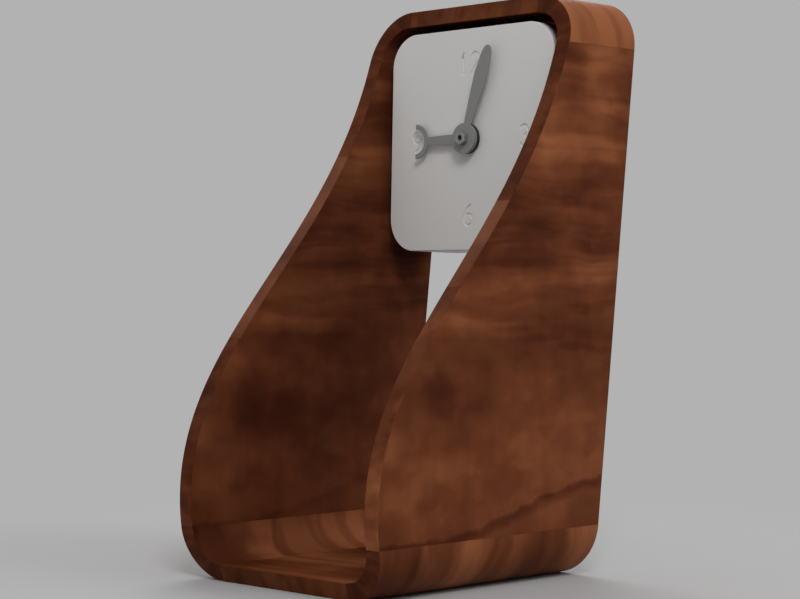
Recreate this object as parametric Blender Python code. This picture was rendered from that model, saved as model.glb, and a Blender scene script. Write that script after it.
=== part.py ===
"""Desk clock: a looped wooden stand that holds a square dial case with a quartz movement.

The stand's front faces -Y and it rests on z = 0. The loop is a rounded rectangle seen from
the front, trimmed by a swept front edge and a leaning back edge. Everything in the dial case
is laid out in the dial's own frame: x to the right, y into the case, z up the dial, with the
hub of the hands at its origin.
"""
import math

import bmesh
import bpy
from mathutils import Vector
from mathutils.geometry import tessellate_polygon

for old_object in list(bpy.data.objects):
    bpy.data.objects.remove(old_object, do_unlink=True)

mm = 0.001

# General clearances and the overrun of cutting tools
seat_gap = 0.3 * mm
running_gap = 0.1 * mm
overrun = 1.0 * mm
smooth_angle = math.radians(32.0)

# Looped stand
loop_height = 240.0 * mm
loop_width = 116.8 * mm
wall = 7.0 * mm
corner_radius = 21.2 * mm
foot_depth = 118.6 * mm
head_depth = 39.1 * mm
back_lean = 28.3 * mm
belly_reach = 33.1 * mm
belly_rise = 96.5 * mm
brow_reach = 22.9 * mm
brow_drop = 115.0 * mm
side_rows = 22
corner_rows = 8
curve_samples = 200
curve_halvings = 40

# Loose tongues glued across the eight joints of the stand
tongue_thickness = 2.0 * mm
tongue_length = 10.0 * mm
head_tongue_width = 24.0 * mm
foot_tongue_width = 80.0 * mm

# Dial case
side_gap = 4.0 * mm
head_gap = 3.3 * mm
dial_setback = 13.4 * mm
dial_lean = math.radians(1.41)
case_depth = 28.0 * mm
case_corner = 14.4 * mm
case_wall = 4.0 * mm
dial_thickness = 4.0 * mm
cavity_corner = 22.0 * mm
rim_width = 2.0 * mm
cover_thickness = 2.5 * mm
cover_band = 15.1 * mm
window_corner = 5.0 * mm
corner_steps = 7
square_diagonal = math.sqrt(2.0)

# Numerals engraved in the dial
numeral_height = 10.0 * mm
numeral_stroke = 1.3 * mm
numeral_depth = 0.8 * mm
numeral_bowl = 6.1 * mm
numeral_width = 5.6 * mm
numeral_one_offset = 4.2 * mm
numeral_two_offset = 2.6 * mm
numeral_reach_x = 31.2 * mm
numeral_reach_z = 32.5 * mm
one_flag = 1.5 * mm
one_base = 2.6 * mm
two_hook = math.radians(10.0)
two_turn = math.radians(38.0)
three_hook = math.radians(20.0)
three_upper_share = 0.48
six_sweep = math.radians(80.0)
numeral_steps = 8

# Screws and spacers
cover_screw_radius = 1.5 * mm
cover_screw_length = 10.0 * mm
cover_head_radius = 2.8 * mm
cover_head_height = 1.6 * mm
cover_screw_inset = 7.3 * mm
side_screw_radius = 1.75 * mm
side_screw_bite = 4.6 * mm
side_head_radius = 3.4 * mm
side_head_height = 2.2 * mm
side_screw_cover_gap = 1.8 * mm
side_screw_margin = 2.0 * mm
spacer_radius = 5.0 * mm
screw_sides = 14
screw_tip_share = 0.25
screw_rim_share = 0.5
screw_crown_share = 0.7
slot_width = 0.8 * mm
slot_depth = 0.8 * mm

# Movement: housing
washer_thickness = 0.8 * mm
washer_radius = 9.0 * mm
movement_size = 56.0 * mm
movement_corner = 3.0 * mm
shell_corner_steps = 3
movement_depth = 16.0 * mm
shell_wall = 1.2 * mm
bay_height = 15.8 * mm
bush_radius = 4.0 * mm
bush_bore = 2.55 * mm
fixing_nut_radius = 6.4 * mm
fixing_nut_thickness = 1.4 * mm

# Movement: arbors and gear layers
hour_tube_radius = 2.4 * mm
hour_tube_bore = 1.3 * mm
minute_arbor_radius = 1.1 * mm
minute_arbor_bore = 0.6 * mm
pivot_radius = 0.4 * mm
pivot_length = 1.2 * mm
boss_radius = 0.9 * mm
wheel_thickness = 1.0 * mm
layer_count = 6
motion_module = 0.3 * mm
centre_module = 0.28 * mm
step_module = 0.25 * mm
cannon_teeth = 12
minute_wheel_teeth = 36
minute_pinion_teeth = 10
hour_wheel_teeth = 40
set_pinion_teeth = 18
centre_wheel_teeth = 64
third_wheel_teeth = 60
third_pinion_teeth = 8
fourth_wheel_teeth = 40
fourth_pinion_teeth = 8
step_wheel_teeth = 36
step_pinion_teeth = 8
rotor_pinion_teeth = 6
third_direction = math.radians(150.0)
step_direction = math.radians(60.0)
tooth_tip_share = 0.75
tooth_root_share = 1.1
tooth_tip_width_share = 0.20
tooth_root_width_share = 0.52

# Movement: set knob, rotor, stator and coil
set_post_radius = 0.6 * mm
set_shaft_radius = 1.2 * mm
set_pivot_radius = 0.8 * mm
set_boss_wall = 0.6 * mm
knob_radius = 5.0 * mm
knob_height = 3.0 * mm
knob_grips = 18
knob_grip_depth = 0.4 * mm
magnet_radius = 2.2 * mm
magnet_length = 2.0 * mm
stator_bore = 2.7 * mm
stator_thickness = 1.0 * mm
stator_half_span = 13.8 * mm
stator_leg = 3.2 * mm
stator_top = 16.0 * mm
stator_shoulder = 5.0 * mm
stator_foot = 3.8 * mm
stator_foot_half = 4.0 * mm
stator_flank = 1.0 * mm
stator_post_radius = 1.2 * mm
stator_post_inset = 1.6 * mm
spool_radius = 3.0 * mm
spool_core = 2.0 * mm
spool_bore = 1.7 * mm
spool_flange = 0.8 * mm
spool_rise = 10.8 * mm
core_height = 2.6 * mm

# Movement: circuit board, its parts, and the battery with its contacts
board_width = 6.0 * mm
board_thickness = 1.0 * mm
board_post_radius = 1.5 * mm
board_post_inset = 4.5 * mm
board_depth = 10.6 * mm
crystal_radius = 1.0 * mm
crystal_length = 6.0 * mm
crystal_rise = 14.0 * mm
chip_radius = 2.2 * mm
chip_height = 0.9 * mm
chip_crown_share = 0.7
battery_radius = 7.25 * mm
battery_length = 50.5 * mm
battery_button_radius = 2.75 * mm
battery_button_length = 1.2 * mm
battery_shoulder = 0.8 * mm
contact_thickness = 0.4 * mm
contact_width = 9.0 * mm
contact_height = 10.0 * mm

# Hands
hand_gap = 0.3 * mm
hour_hand_angle = math.radians(270.0)
minute_hand_angle = math.radians(19.5)
hour_hand_thickness = 0.8 * mm
hour_disc_radius = 6.4 * mm
hour_arm_root = 4.5 * mm
hour_arm_end = 3.6 * mm
hour_ring_reach = 29.8 * mm
hour_ring_radius = 7.55 * mm
hour_ring_band = 2.2 * mm
minute_hand_thickness = 0.9 * mm
minute_disc_radius = 6.6 * mm
minute_hand_reach = 41.2 * mm
minute_root_width = 4.6 * mm
minute_blade_width = 7.75 * mm
minute_widest_share = 0.79
minute_swell_power = 1.25
minute_tip_power = 2.5
minute_nut_radius = 3.0 * mm
minute_nut_bore = 1.2 * mm
minute_nut_height = 2.15 * mm
minute_nut_gap = 0.15 * mm
minute_nut_sides = 6
minute_arbor_show = 1.1 * mm
blade_steps = 6
tip_steps = 9
ring_steps = 7

round_sides = 32
small_sides = 16


def finish(name, colour, roughness, metallic=0.0):
    """A plain material in one colour."""
    material = bpy.data.materials.new(name)
    material.use_nodes = True
    shader = material.node_tree.nodes["Principled BSDF"]
    shader.inputs["Base Color"].default_value = (*colour, 1.0)
    shader.inputs["Roughness"].default_value = roughness
    shader.inputs["Metallic"].default_value = metallic
    material.diffuse_color = (*colour, 1.0)
    return material


wood = finish("walnut", (0.20, 0.075, 0.035), 0.42)
tongue_wood = finish("birch", (0.60, 0.45, 0.28), 0.6)
dial_white = finish("dial_white", (0.72, 0.71, 0.69), 0.55)
hand_grey = finish("hand_grey", (0.14, 0.14, 0.135), 0.45)
nut_grey = finish("nut_grey", (0.17, 0.18, 0.17), 0.35, 0.6)
black_nut = finish("black_nut", (0.02, 0.02, 0.02), 0.35)
brass = finish("brass", (0.72, 0.52, 0.22), 0.3, 1.0)
steel = finish("steel", (0.55, 0.55, 0.56), 0.3, 1.0)
shell_black = finish("shell_black", (0.03, 0.03, 0.032), 0.5)
gear_white = finish("gear_white", (0.75, 0.74, 0.70), 0.45)
knob_black = finish("knob_black", (0.04, 0.04, 0.04), 0.4)
magnet_grey = finish("magnet_grey", (0.12, 0.12, 0.13), 0.4, 0.5)
copper = finish("copper", (0.75, 0.32, 0.14), 0.35, 1.0)
board_green = finish("board_green", (0.03, 0.16, 0.07), 0.5)
rubber = finish("rubber", (0.03, 0.03, 0.03), 0.8)
cell_green = finish("cell_green", (0.08, 0.20, 0.13), 0.35)


def circle(radius, sides, centre=(0.0, 0.0)):
    """Outline of a circle as (x, z) pairs."""
    turns = [2.0 * math.pi * i / sides for i in range(sides)]
    return [(centre[0] + radius * math.cos(a), centre[1] + radius * math.sin(a)) for a in turns]


def arc(radius, start, end, steps, centre=(0.0, 0.0)):
    """Points of an arc from one angle to another, both included."""
    angles = [start + (end - start) * i / steps for i in range(steps + 1)]
    return [(centre[0] + radius * math.cos(a), centre[1] + radius * math.sin(a)) for a in angles]


def rectangle(width, height, centre=(0.0, 0.0)):
    """Outline of a rectangle."""
    x, z = centre
    w, h = width / 2.0, height / 2.0
    return [(x + w, z + h), (x - w, z + h), (x - w, z - h), (x + w, z - h)]


def rounded_square(size, radius, steps):
    """Outline of a square with round corners."""
    inset = size / 2.0 - radius
    outline = []
    for quarter, (sx, sz) in enumerate([(1, 1), (-1, 1), (-1, -1), (1, -1)]):
        start = quarter * math.pi / 2.0
        outline += arc(radius, start, start + math.pi / 2.0, steps, (sx * inset, sz * inset))
    return outline


def gear(teeth, module, turn):
    """Outline of a gear with straight-sided teeth; one tooth is centred at the angle turn."""
    pitch_angle = 2.0 * math.pi / teeth
    pitch_radius = teeth * module / 2.0
    tip = pitch_radius + tooth_tip_share * module
    root = pitch_radius - tooth_root_share * module
    tip_half = pitch_angle * tooth_tip_width_share / 2.0
    root_half = pitch_angle * tooth_root_width_share / 2.0
    outline = []
    for tooth in range(teeth):
        middle = turn + tooth * pitch_angle
        for radius, offset in ((root, -root_half), (tip, -tip_half), (tip, tip_half), (root, root_half)):
            outline.append((radius * math.cos(middle + offset), radius * math.sin(middle + offset)))
    return outline


def mesh_turn(direction, driver_turn, driver_teeth, driven_teeth):
    """Turn of a gear that meshes with a driver which it sees along the given direction."""
    driver_phase = ((direction - driver_turn) * driver_teeth / (2.0 * math.pi)) % 1.0
    return direction + math.pi + (driver_phase - 0.5) * 2.0 * math.pi / driven_teeth


def at(outline, y):
    """The outline as a ring of points at depth y."""
    return [(x, y, z) for x, z in outline]


def add_shell(bm, rings, capped):
    """Adds one closed body through a list of (points, link) rings.

    A wall link joins two rings of equal count with quads, and a web link fills the flat
    face between them. A capped body ends in its first and last ring; otherwise the last ring
    links back to the first, round a bore.
    """
    loops = [[bm.verts.new(point) for point in points] for points, link in rings]
    links = [link for points, link in rings]
    count = len(loops)
    for index in range(count - 1 if capped else count):
        near, far = loops[index], loops[(index + 1) % count]
        if links[index] == "wall":
            for i in range(len(near)):
                j = (i + 1) % len(near)
                bm.faces.new((near[i], near[j], far[j], far[i]))
        else:
            fill(bm, [near, far])
    if capped:
        fill(bm, [loops[0]])
        fill(bm, [loops[-1]])


def fill(bm, loops):
    """Fills the flat face bounded by the loops with triangles."""
    corners = [vertex for loop in loops for vertex in loop]
    for triangle in tessellate_polygon([[vertex.co for vertex in loop] for loop in loops]):
        bm.faces.new([corners[i] for i in triangle])


def build_mesh(name, shells):
    """A mesh of closed shells, each a (rings, capped) pair, with its faces pointing out."""
    bm = bmesh.new()
    for rings, capped in shells:
        add_shell(bm, rings, capped)
    bmesh.ops.recalc_face_normals(bm, faces=bm.faces)
    mesh = bpy.data.meshes.new(name)
    bm.to_mesh(mesh)
    bm.free()
    mesh.shade_smooth()
    mesh.set_sharp_from_angle(angle=smooth_angle)
    return mesh


def piece(name, shells, material, place=(0.0, 0.0, 0.0), parent=None):
    """One sub-part of the clock."""
    obj = bpy.data.objects.new(name, build_mesh(name, shells))
    bpy.context.scene.collection.objects.link(obj)
    obj.data.materials.append(material)
    obj.location = place
    obj.parent = parent
    return obj


def tool(target, operation, shells, parent=None):
    """Cuts the shells out of the target or joins them to it; the tool stays as a hidden guide."""
    name = f"{target.name}_{operation.lower()}_{len(target.modifiers)}"
    guide = bpy.data.objects.new(name, build_mesh(name, shells))
    bpy.context.scene.collection.objects.link(guide)
    guide.parent = parent
    guide.location = target.location
    guide.hide_render = True
    guide.display_type = "WIRE"
    boolean = target.modifiers.new(name, "BOOLEAN")
    boolean.operation = operation
    boolean.solver = "EXACT"
    boolean.object = guide
    return boolean


def prism(outline, start, end):
    """A closed shell of one outline from depth start to depth end."""
    return [(at(outline, start), "wall"), (at(outline, end), "wall")], True


def stack(steps, bore=None):
    """A closed shell of (outline, start, end) steps along y, with an optional round bore."""
    rings = []
    for outline, start, end in steps:
        rings += [(at(outline, start), "wall"), (at(outline, end), "web")]
    if bore is None:
        return rings, True
    hole = circle(bore, small_sides)
    rings.insert(0, (at(hole, steps[0][1]), "web"))
    rings.append((at(hole, steps[-1][2]), "wall"))
    return rings, False


def tube(outer, inner, start, end, sides=round_sides, centre=(0.0, 0.0)):
    """A closed shell of a round tube along y."""
    outside, inside = circle(outer, sides, centre), circle(inner, sides, centre)
    rings = [at(inside, start), at(outside, start), at(outside, end), at(inside, end)]
    return [(ring, "wall") for ring in rings], False


def turned(profile, sides):
    """A closed shell turned about y from (radius, depth) pairs, flat at both ends."""
    return [(at(circle(radius, sides), depth), "wall") for radius, depth in profile], True


def along_x(shell, sign, place):
    """The shell with its y axis laid along x, pointing outwards on the side of the sign."""
    rings, capped = shell
    laid = []
    for points, link in rings:
        laid.append(([(place[0] + sign * y, place[1] + x, place[2] + z) for x, y, z in points], link))
    return laid, capped


def along_z(shell, place):
    """The shell with its y axis laid along z."""
    rings, capped = shell
    laid = []
    for points, link in rings:
        laid.append(([(place[0] + x, place[1] + z, place[2] + y) for x, y, z in points], link))
    return laid, capped


def block(low, high):
    """A closed shell of a box between two corners."""
    centre = ((low[0] + high[0]) / 2.0, (low[2] + high[2]) / 2.0)
    return prism(rectangle(high[0] - low[0], high[2] - low[2], centre), low[1], high[1])


def stroke(path, width, looped=False):
    """Outlines of a stroke of constant width along a path: left side, then right side."""
    left, right = [], []
    count = len(path)
    for i in range(count):
        before = path[(i - 1) % count] if looped or i > 0 else path[i]
        after = path[(i + 1) % count] if looped or i < count - 1 else path[i]
        heading = Vector((after[0] - before[0], after[1] - before[1])).normalized()
        side = Vector((-heading.y, heading.x)) * (width / 2.0)
        left.append((path[i][0] + side.x, path[i][1] + side.y))
        right.append((path[i][0] - side.x, path[i][1] - side.y))
    return left, right


def bezier(points, t):
    """Point of a cubic Bezier curve."""
    a, b, c, d = (Vector(point) for point in points)
    s = 1.0 - t
    return a * s ** 3 + b * (3.0 * s * s * t) + c * (3.0 * s * t * t) + d * t ** 3


# Depths of the stand: the swept front edge and the straight back edge
head_front = back_lean - head_depth
front_curve = (
    (-foot_depth, 0.0),
    (-foot_depth - belly_reach, belly_rise),
    (head_front - brow_reach, loop_height - brow_drop),
    (head_front, loop_height),
)
foremost = min(bezier(front_curve, i / curve_samples).x for i in range(curve_samples + 1))
centre_shift = -(foremost + back_lean) / 2.0


def front_y(z):
    """Depth of the front edge at height z, by halving the curve's parameter."""
    low, high = 0.0, 1.0
    for _ in range(curve_halvings):
        middle = (low + high) / 2.0
        if bezier(front_curve, middle).y < z:
            low = middle
        else:
            high = middle
    return bezier(front_curve, low).x + centre_shift


def back_y(z):
    """Depth of the back edge at height z."""
    return back_lean * z / loop_height + centre_shift


def section(outer, inner):
    """Four corners of the loop's wall between an outer and an inner (x, z) point."""
    corners = []
    for (x, z), depth in ((outer, front_y), (inner, front_y), (inner, back_y), (outer, back_y)):
        corners.append((x, depth(z), z))
    return corners


def loop_piece(name, stations):
    """One wooden piece of the loop through its wall sections."""
    rings = [(section(outer, inner), "wall") for outer, inner in stations]
    return piece(name, [(rings, True)], wood)


def even(start, end, steps):
    """Evenly spaced values from start to end."""
    return [start + (end - start) * i / steps for i in range(steps + 1)]


half_width = loop_width / 2.0
straight_x = half_width - corner_radius
stand = {}
for side, sign in (("left", -1.0), ("right", 1.0)):
    heights = even(corner_radius + seat_gap, loop_height - corner_radius - seat_gap, side_rows)
    stations = [((sign * half_width, z), (sign * (half_width - wall), z)) for z in heights]
    stand[side] = loop_piece(f"side_panel_{side}", stations)
for end, outer_z, inner_z in (("bottom", 0.0, wall), ("top", loop_height, loop_height - wall)):
    reach = straight_x - seat_gap
    stand[end] = loop_piece(f"{end}_board", [((x, outer_z), (x, inner_z)) for x in (-reach, reach)])
corner_places = {
    "top_right": (1.0, loop_height - corner_radius, 0.0),
    "top_left": (-1.0, loop_height - corner_radius, math.pi / 2.0),
    "bottom_left": (-1.0, corner_radius, math.pi),
    "bottom_right": (1.0, corner_radius, 1.5 * math.pi),
}
for corner, (sign, centre_z, start) in corner_places.items():
    centre = (sign * straight_x, centre_z)
    outer = arc(corner_radius, start, start + math.pi / 2.0, corner_rows, centre)
    inner = arc(corner_radius - wall, start, start + math.pi / 2.0, corner_rows, centre)
    stand[corner] = loop_piece(f"corner_{corner}", list(zip(outer, inner)))


def add_tongue(name, neighbours, centre, upright, width):
    """A loose tongue across a joint, and its slot in both neighbours."""
    thick, long = tongue_thickness / 2.0, tongue_length / 2.0
    half = (thick, width / 2.0, long) if upright else (long, width / 2.0, thick)
    low = [c - h for c, h in zip(centre, half)]
    high = [c + h for c, h in zip(centre, half)]
    piece(name, [block(low, high)], tongue_wood)
    slot = block([c - seat_gap for c in low], [c + seat_gap for c in high])
    for neighbour in neighbours:
        tool(stand[neighbour], "DIFFERENCE", [slot])


for corner, (sign, centre_z, start) in corner_places.items():
    end, side = corner.split("_")
    width = head_tongue_width if end == "top" else foot_tongue_width
    middle_y = (front_y(centre_z) + back_y(centre_z)) / 2.0
    wall_x = sign * (half_width - wall / 2.0)
    wall_z = loop_height - wall / 2.0 if end == "top" else wall / 2.0
    end_y = (front_y(wall_z) + back_y(wall_z)) / 2.0
    add_tongue(f"tongue_{side}_{end}", (side, corner), (wall_x, middle_y, centre_z), True, width)
    joint = (sign * (straight_x - seat_gap / 2.0), end_y, wall_z)
    add_tongue(f"tongue_{end}_{side}", (end, corner), joint, False, width)

# Frame of the dial, with its origin at the hub on the dial's face
case_size = loop_width - 2.0 * wall - 2.0 * side_gap
dial_height = loop_height - wall - head_gap - case_size / 2.0
dial_frame = bpy.data.objects.new("dial_frame", None)
bpy.context.scene.collection.objects.link(dial_frame)
dial_frame.location = (0.0, centre_shift - dial_setback, dial_height)
dial_frame.rotation_euler = (-dial_lean, 0.0, 0.0)

# Depths in the case, counted from the dial's face
rebate_floor = case_depth - cover_thickness - seat_gap
side_screw_depth = rebate_floor - side_head_radius - side_screw_cover_gap
movement_front = dial_thickness + seat_gap + washer_thickness + seat_gap
movement_back = movement_front + movement_depth
plate_back = movement_front + shell_wall
lid_front = movement_back - shell_wall
shell_back = lid_front - seat_gap
layer_pitch = wheel_thickness + seat_gap
layer = [plate_back + seat_gap + i * layer_pitch for i in range(layer_count)]
magnet_front = layer[-1] + layer_pitch
rotor_back = magnet_front + magnet_length
stator_front = magnet_front + (magnet_length - stator_thickness) / 2.0
stator_back = stator_front + stator_thickness
board_front = movement_front + board_depth
board_back = board_front + board_thickness
nut_front = -seat_gap - fixing_nut_thickness
hour_hand_back = nut_front - hand_gap
hour_hand_front = hour_hand_back - hour_hand_thickness
minute_hand_back = hour_hand_front - hand_gap
minute_hand_front = minute_hand_back - minute_hand_thickness

# Widths in the case: the cavity's round corners stay clear of the movement and of the side screws
half_case = case_size / 2.0
half_hollow = half_case - case_wall
corner_play = square_diagonal * (half_hollow - movement_size / 2.0 + movement_corner)
corner_limit = (corner_play - movement_corner - seat_gap) / (square_diagonal - 1.0)
hollow_corner = min(cavity_corner, corner_limit)
side_screw_rise = half_hollow - hollow_corner - side_head_radius - side_screw_margin
cover_size = case_size - 2.0 * (rim_width + seat_gap)
window_size = cover_size - 2.0 * cover_band


def place_in_dial(name, shells, material, axis=(0.0, 0.0)):
    """A sub-part in the dial's frame, with its origin on the axis at (x, z)."""
    return piece(name, shells, material, (axis[0], 0.0, axis[1]), dial_frame)


def build_case():
    """Dial case with its cavity, rebate, hub hole, screw holes and engraved numerals."""
    outside = rounded_square(case_size, case_corner, corner_steps)
    rebate = rounded_square(case_size - 2.0 * rim_width, case_corner - rim_width, corner_steps)
    cavity = rounded_square(2.0 * half_hollow, hollow_corner, corner_steps)
    hole = circle(bush_radius + seat_gap, round_sides)
    rings = [
        (at(outside, 0.0), "wall"), (at(outside, case_depth), "web"),
        (at(rebate, case_depth), "wall"), (at(rebate, rebate_floor), "web"),
        (at(cavity, rebate_floor), "wall"), (at(cavity, dial_thickness), "web"),
        (at(hole, dial_thickness), "wall"), (at(hole, 0.0), "web"),
    ]
    case = place_in_dial("dial_case", [(rings, False)], dial_white)
    holes = []
    for x, z in corner_spots(half_case - cover_screw_inset):
        bottom = case_depth - cover_screw_length - overrun
        radius = cover_screw_radius + seat_gap
        holes.append(prism(circle(radius, screw_sides, (x, z)), bottom, rebate_floor + overrun))
    hole_radius = side_screw_radius + seat_gap
    for sign, rise in side_spots():
        through = turned([(hole_radius, -case_wall - overrun), (hole_radius, overrun)], screw_sides)
        holes.append(along_x(through, sign, (sign * half_case, side_screw_depth, rise)))
    tool(case, "DIFFERENCE", holes, dial_frame)
    engraving = tool(case, "DIFFERENCE", numeral_shells(), dial_frame)
    engraving.use_self = True


def corner_spots(reach):
    """The four (x, z) places at the given reach from the hub."""
    return [(sx * reach, sz * reach) for sx in (-1.0, 1.0) for sz in (-1.0, 1.0)]


def side_spots():
    """The four side screws as (side sign, height) pairs."""
    return [(sign, rise) for sign in (-1.0, 1.0) for rise in (-side_screw_rise, side_screw_rise)]


def numeral_shells():
    """Cutting strokes of the numerals 12, 3, 6 and 9, from arcs and straight runs."""
    top = (numeral_height - numeral_stroke) / 2.0
    bowl = (numeral_bowl - numeral_stroke) / 2.0
    half = (numeral_width - numeral_stroke) / 2.0
    flat = numeral_stroke / 2.0
    six_bowl = circle(bowl, small_sides, (0.0, bowl - top))
    tail_rise = 2.0 * top - bowl
    sweep = even(0.0, six_sweep, numeral_steps)
    six_tail = [(bowl - 2.0 * bowl * math.cos(a), bowl - top + tail_rise * math.sin(a)) for a in sweep]
    upper = top * three_upper_share
    lower = top - upper
    three_top = arc(upper, math.pi - three_hook, -math.pi / 2.0, numeral_steps, (0.0, top - upper))
    three_low = arc(lower, math.pi / 2.0, three_hook - math.pi, numeral_steps, (0.0, lower - top))
    two_top = arc(half, math.pi - two_hook, -two_turn, numeral_steps, (0.0, top - half))
    strokes = {
        "one": [([(0.0, -top - flat), (0.0, top + flat)], False),
                ([(0.0, top - flat), (-one_flag, top - flat - one_flag)], False),
                ([(-one_base / 2.0, -top), (one_base / 2.0, -top)], False)],
        "two": [(two_top + [(-half, -top)], False),
                ([(-half - flat, -top), (half + flat, -top)], False)],
        "three": [(three_top, False), (three_low, False)],
        "six": [(six_bowl, True), (six_tail, False)],
    }
    places = [
        ("one", 1.0, (-numeral_one_offset, numeral_reach_z)),
        ("two", 1.0, (numeral_two_offset, numeral_reach_z)),
        ("three", 1.0, (numeral_reach_x, 0.0)),
        ("six", 1.0, (0.0, -numeral_reach_z)),
        ("six", -1.0, (-numeral_reach_x, 0.0)),
    ]
    shells = []
    for digit, facing, (x, z) in places:
        for path, looped in strokes[digit]:
            placed = [(x + facing * u, z + facing * v) for u, v in path]
            left, right = stroke(placed, numeral_stroke, looped)
            if looped:
                corners = ((left, -overrun), (right, -overrun), (right, numeral_depth), (left, numeral_depth))
                shells.append(([(at(outline, depth), "wall") for outline, depth in corners], False))
            else:
                shells.append(prism(left + right[::-1], -overrun, numeral_depth))
    return shells


def build_cover():
    """Rear cover with its window, and the four screws that hold it."""
    outside = rounded_square(cover_size, case_corner - rim_width - seat_gap, corner_steps)
    window = rounded_square(window_size, window_corner, corner_steps)
    front, back = case_depth - cover_thickness, case_depth
    rings = [(at(window, front), "web"), (at(outside, front), "wall"),
             (at(outside, back), "web"), (at(window, back), "wall")]
    cover = place_in_dial("rear_cover", [(rings, False)], dial_white)
    spots = corner_spots(half_case - cover_screw_inset)
    bore = cover_screw_radius + seat_gap
    holes = [prism(circle(bore, screw_sides, spot), front - overrun, back + overrun) for spot in spots]
    tool(cover, "DIFFERENCE", holes, dial_frame)
    for number, (x, z) in enumerate(spots, start=1):
        seat = case_depth + seat_gap
        shape = screw_profile(cover_screw_radius, cover_screw_length,
                              cover_head_radius, cover_head_height, seat)
        screw = place_in_dial(f"cover_screw_{number}", [turned(shape, screw_sides)], steel, (x, z))
        half = cover_head_radius + overrun
        back_of_head = seat + cover_head_height
        slot = block((-half, back_of_head - slot_depth, -slot_width / 2.0),
                     (half, back_of_head + overrun, slot_width / 2.0))
        tool(screw, "DIFFERENCE", [slot], dial_frame)


def screw_profile(radius, length, head_radius, head_height, seat):
    """Profile of a screw whose tip points to -y and whose head rests at the depth seat."""
    return [(radius * screw_tip_share, seat - length), (radius, seat - length + radius), (radius, seat),
            (head_radius, seat), (head_radius, seat + head_height * screw_rim_share),
            (head_radius * screw_crown_share, seat + head_height)]


def build_side_fixings():
    """Spacers in the gap beside the case, and the screws from inside it into the stand."""
    head_seat = -case_wall - seat_gap
    tip = side_gap + side_screw_bite
    for number, (sign, rise) in enumerate(side_spots(), start=1):
        spot = (sign * half_case, side_screw_depth, rise)
        ring = tube(spacer_radius, side_screw_radius + seat_gap, seat_gap, side_gap - seat_gap, screw_sides)
        place_in_dial(f"side_spacer_{number}", [along_x(ring, sign, spot)], black_nut)
        shape = screw_profile(side_screw_radius, tip - head_seat,
                              side_head_radius, side_head_height, -head_seat)
        shank = along_x(turned(shape, screw_sides), -sign, spot)
        place_in_dial(f"side_screw_{number}", [shank], steel)
        pilot = turned([(side_screw_radius + seat_gap, side_gap - overrun),
                        (side_screw_radius + seat_gap, tip + seat_gap)], screw_sides)
        panel = stand["right" if sign > 0.0 else "left"]
        tool(panel, "DIFFERENCE", [along_x(pilot, sign, spot)], dial_frame)


build_case()
build_cover()
build_side_fixings()

# Axes of the movement's arbors in the dial's frame
motion_distance = (cannon_teeth + minute_wheel_teeth) / 2.0 * motion_module
hour_module = 2.0 * motion_distance / (minute_pinion_teeth + hour_wheel_teeth)
minute_axis = (motion_distance, 0.0)
set_distance = (minute_wheel_teeth + set_pinion_teeth) / 2.0 * motion_module
set_axis = (motion_distance + set_distance, 0.0)
third_distance = (centre_wheel_teeth + third_pinion_teeth) / 2.0 * centre_module
fourth_module = 2.0 * third_distance / (third_wheel_teeth + fourth_pinion_teeth)
third_axis = (third_distance * math.cos(third_direction), third_distance * math.sin(third_direction))
step_distance = (fourth_wheel_teeth + step_pinion_teeth) / 2.0 * step_module
step_axis = (step_distance * math.cos(step_direction), step_distance * math.sin(step_direction))
rotor_distance = step_distance + (step_wheel_teeth + rotor_pinion_teeth) / 2.0 * step_module
rotor_axis = (rotor_distance * math.cos(step_direction), rotor_distance * math.sin(step_direction))

# Places in the movement's housing
half_movement = movement_size / 2.0
half_cavity = half_movement - shell_wall
bay_low = -half_cavity
bay_high = bay_low + bay_height
cavity_low = bay_high + shell_wall
boss_overlap = shell_wall / 2.0
bearing = pivot_radius + running_gap
bay_middle = (bay_low + bay_high) / 2.0
board_right = half_cavity - seat_gap
board_left = board_right - board_width
board_low = cavity_low + seat_gap
board_high = half_cavity - seat_gap
board_middle = (board_left + board_right) / 2.0


def post_spots():
    """Posts of the front shell as (radius, top, spot): two for the circuit board, two for the stator."""
    posts = []
    for z in (board_low + board_post_inset, board_high - board_post_inset):
        posts.append((board_post_radius, board_front - seat_gap, (board_middle, z)))
    reach = stator_half_span - stator_post_inset
    for x in (rotor_axis[0] - reach, rotor_axis[0] + reach):
        spot = (x, rotor_axis[1] + stator_top - stator_post_inset)
        posts.append((stator_post_radius, stator_front - seat_gap, spot))
    return posts


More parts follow.
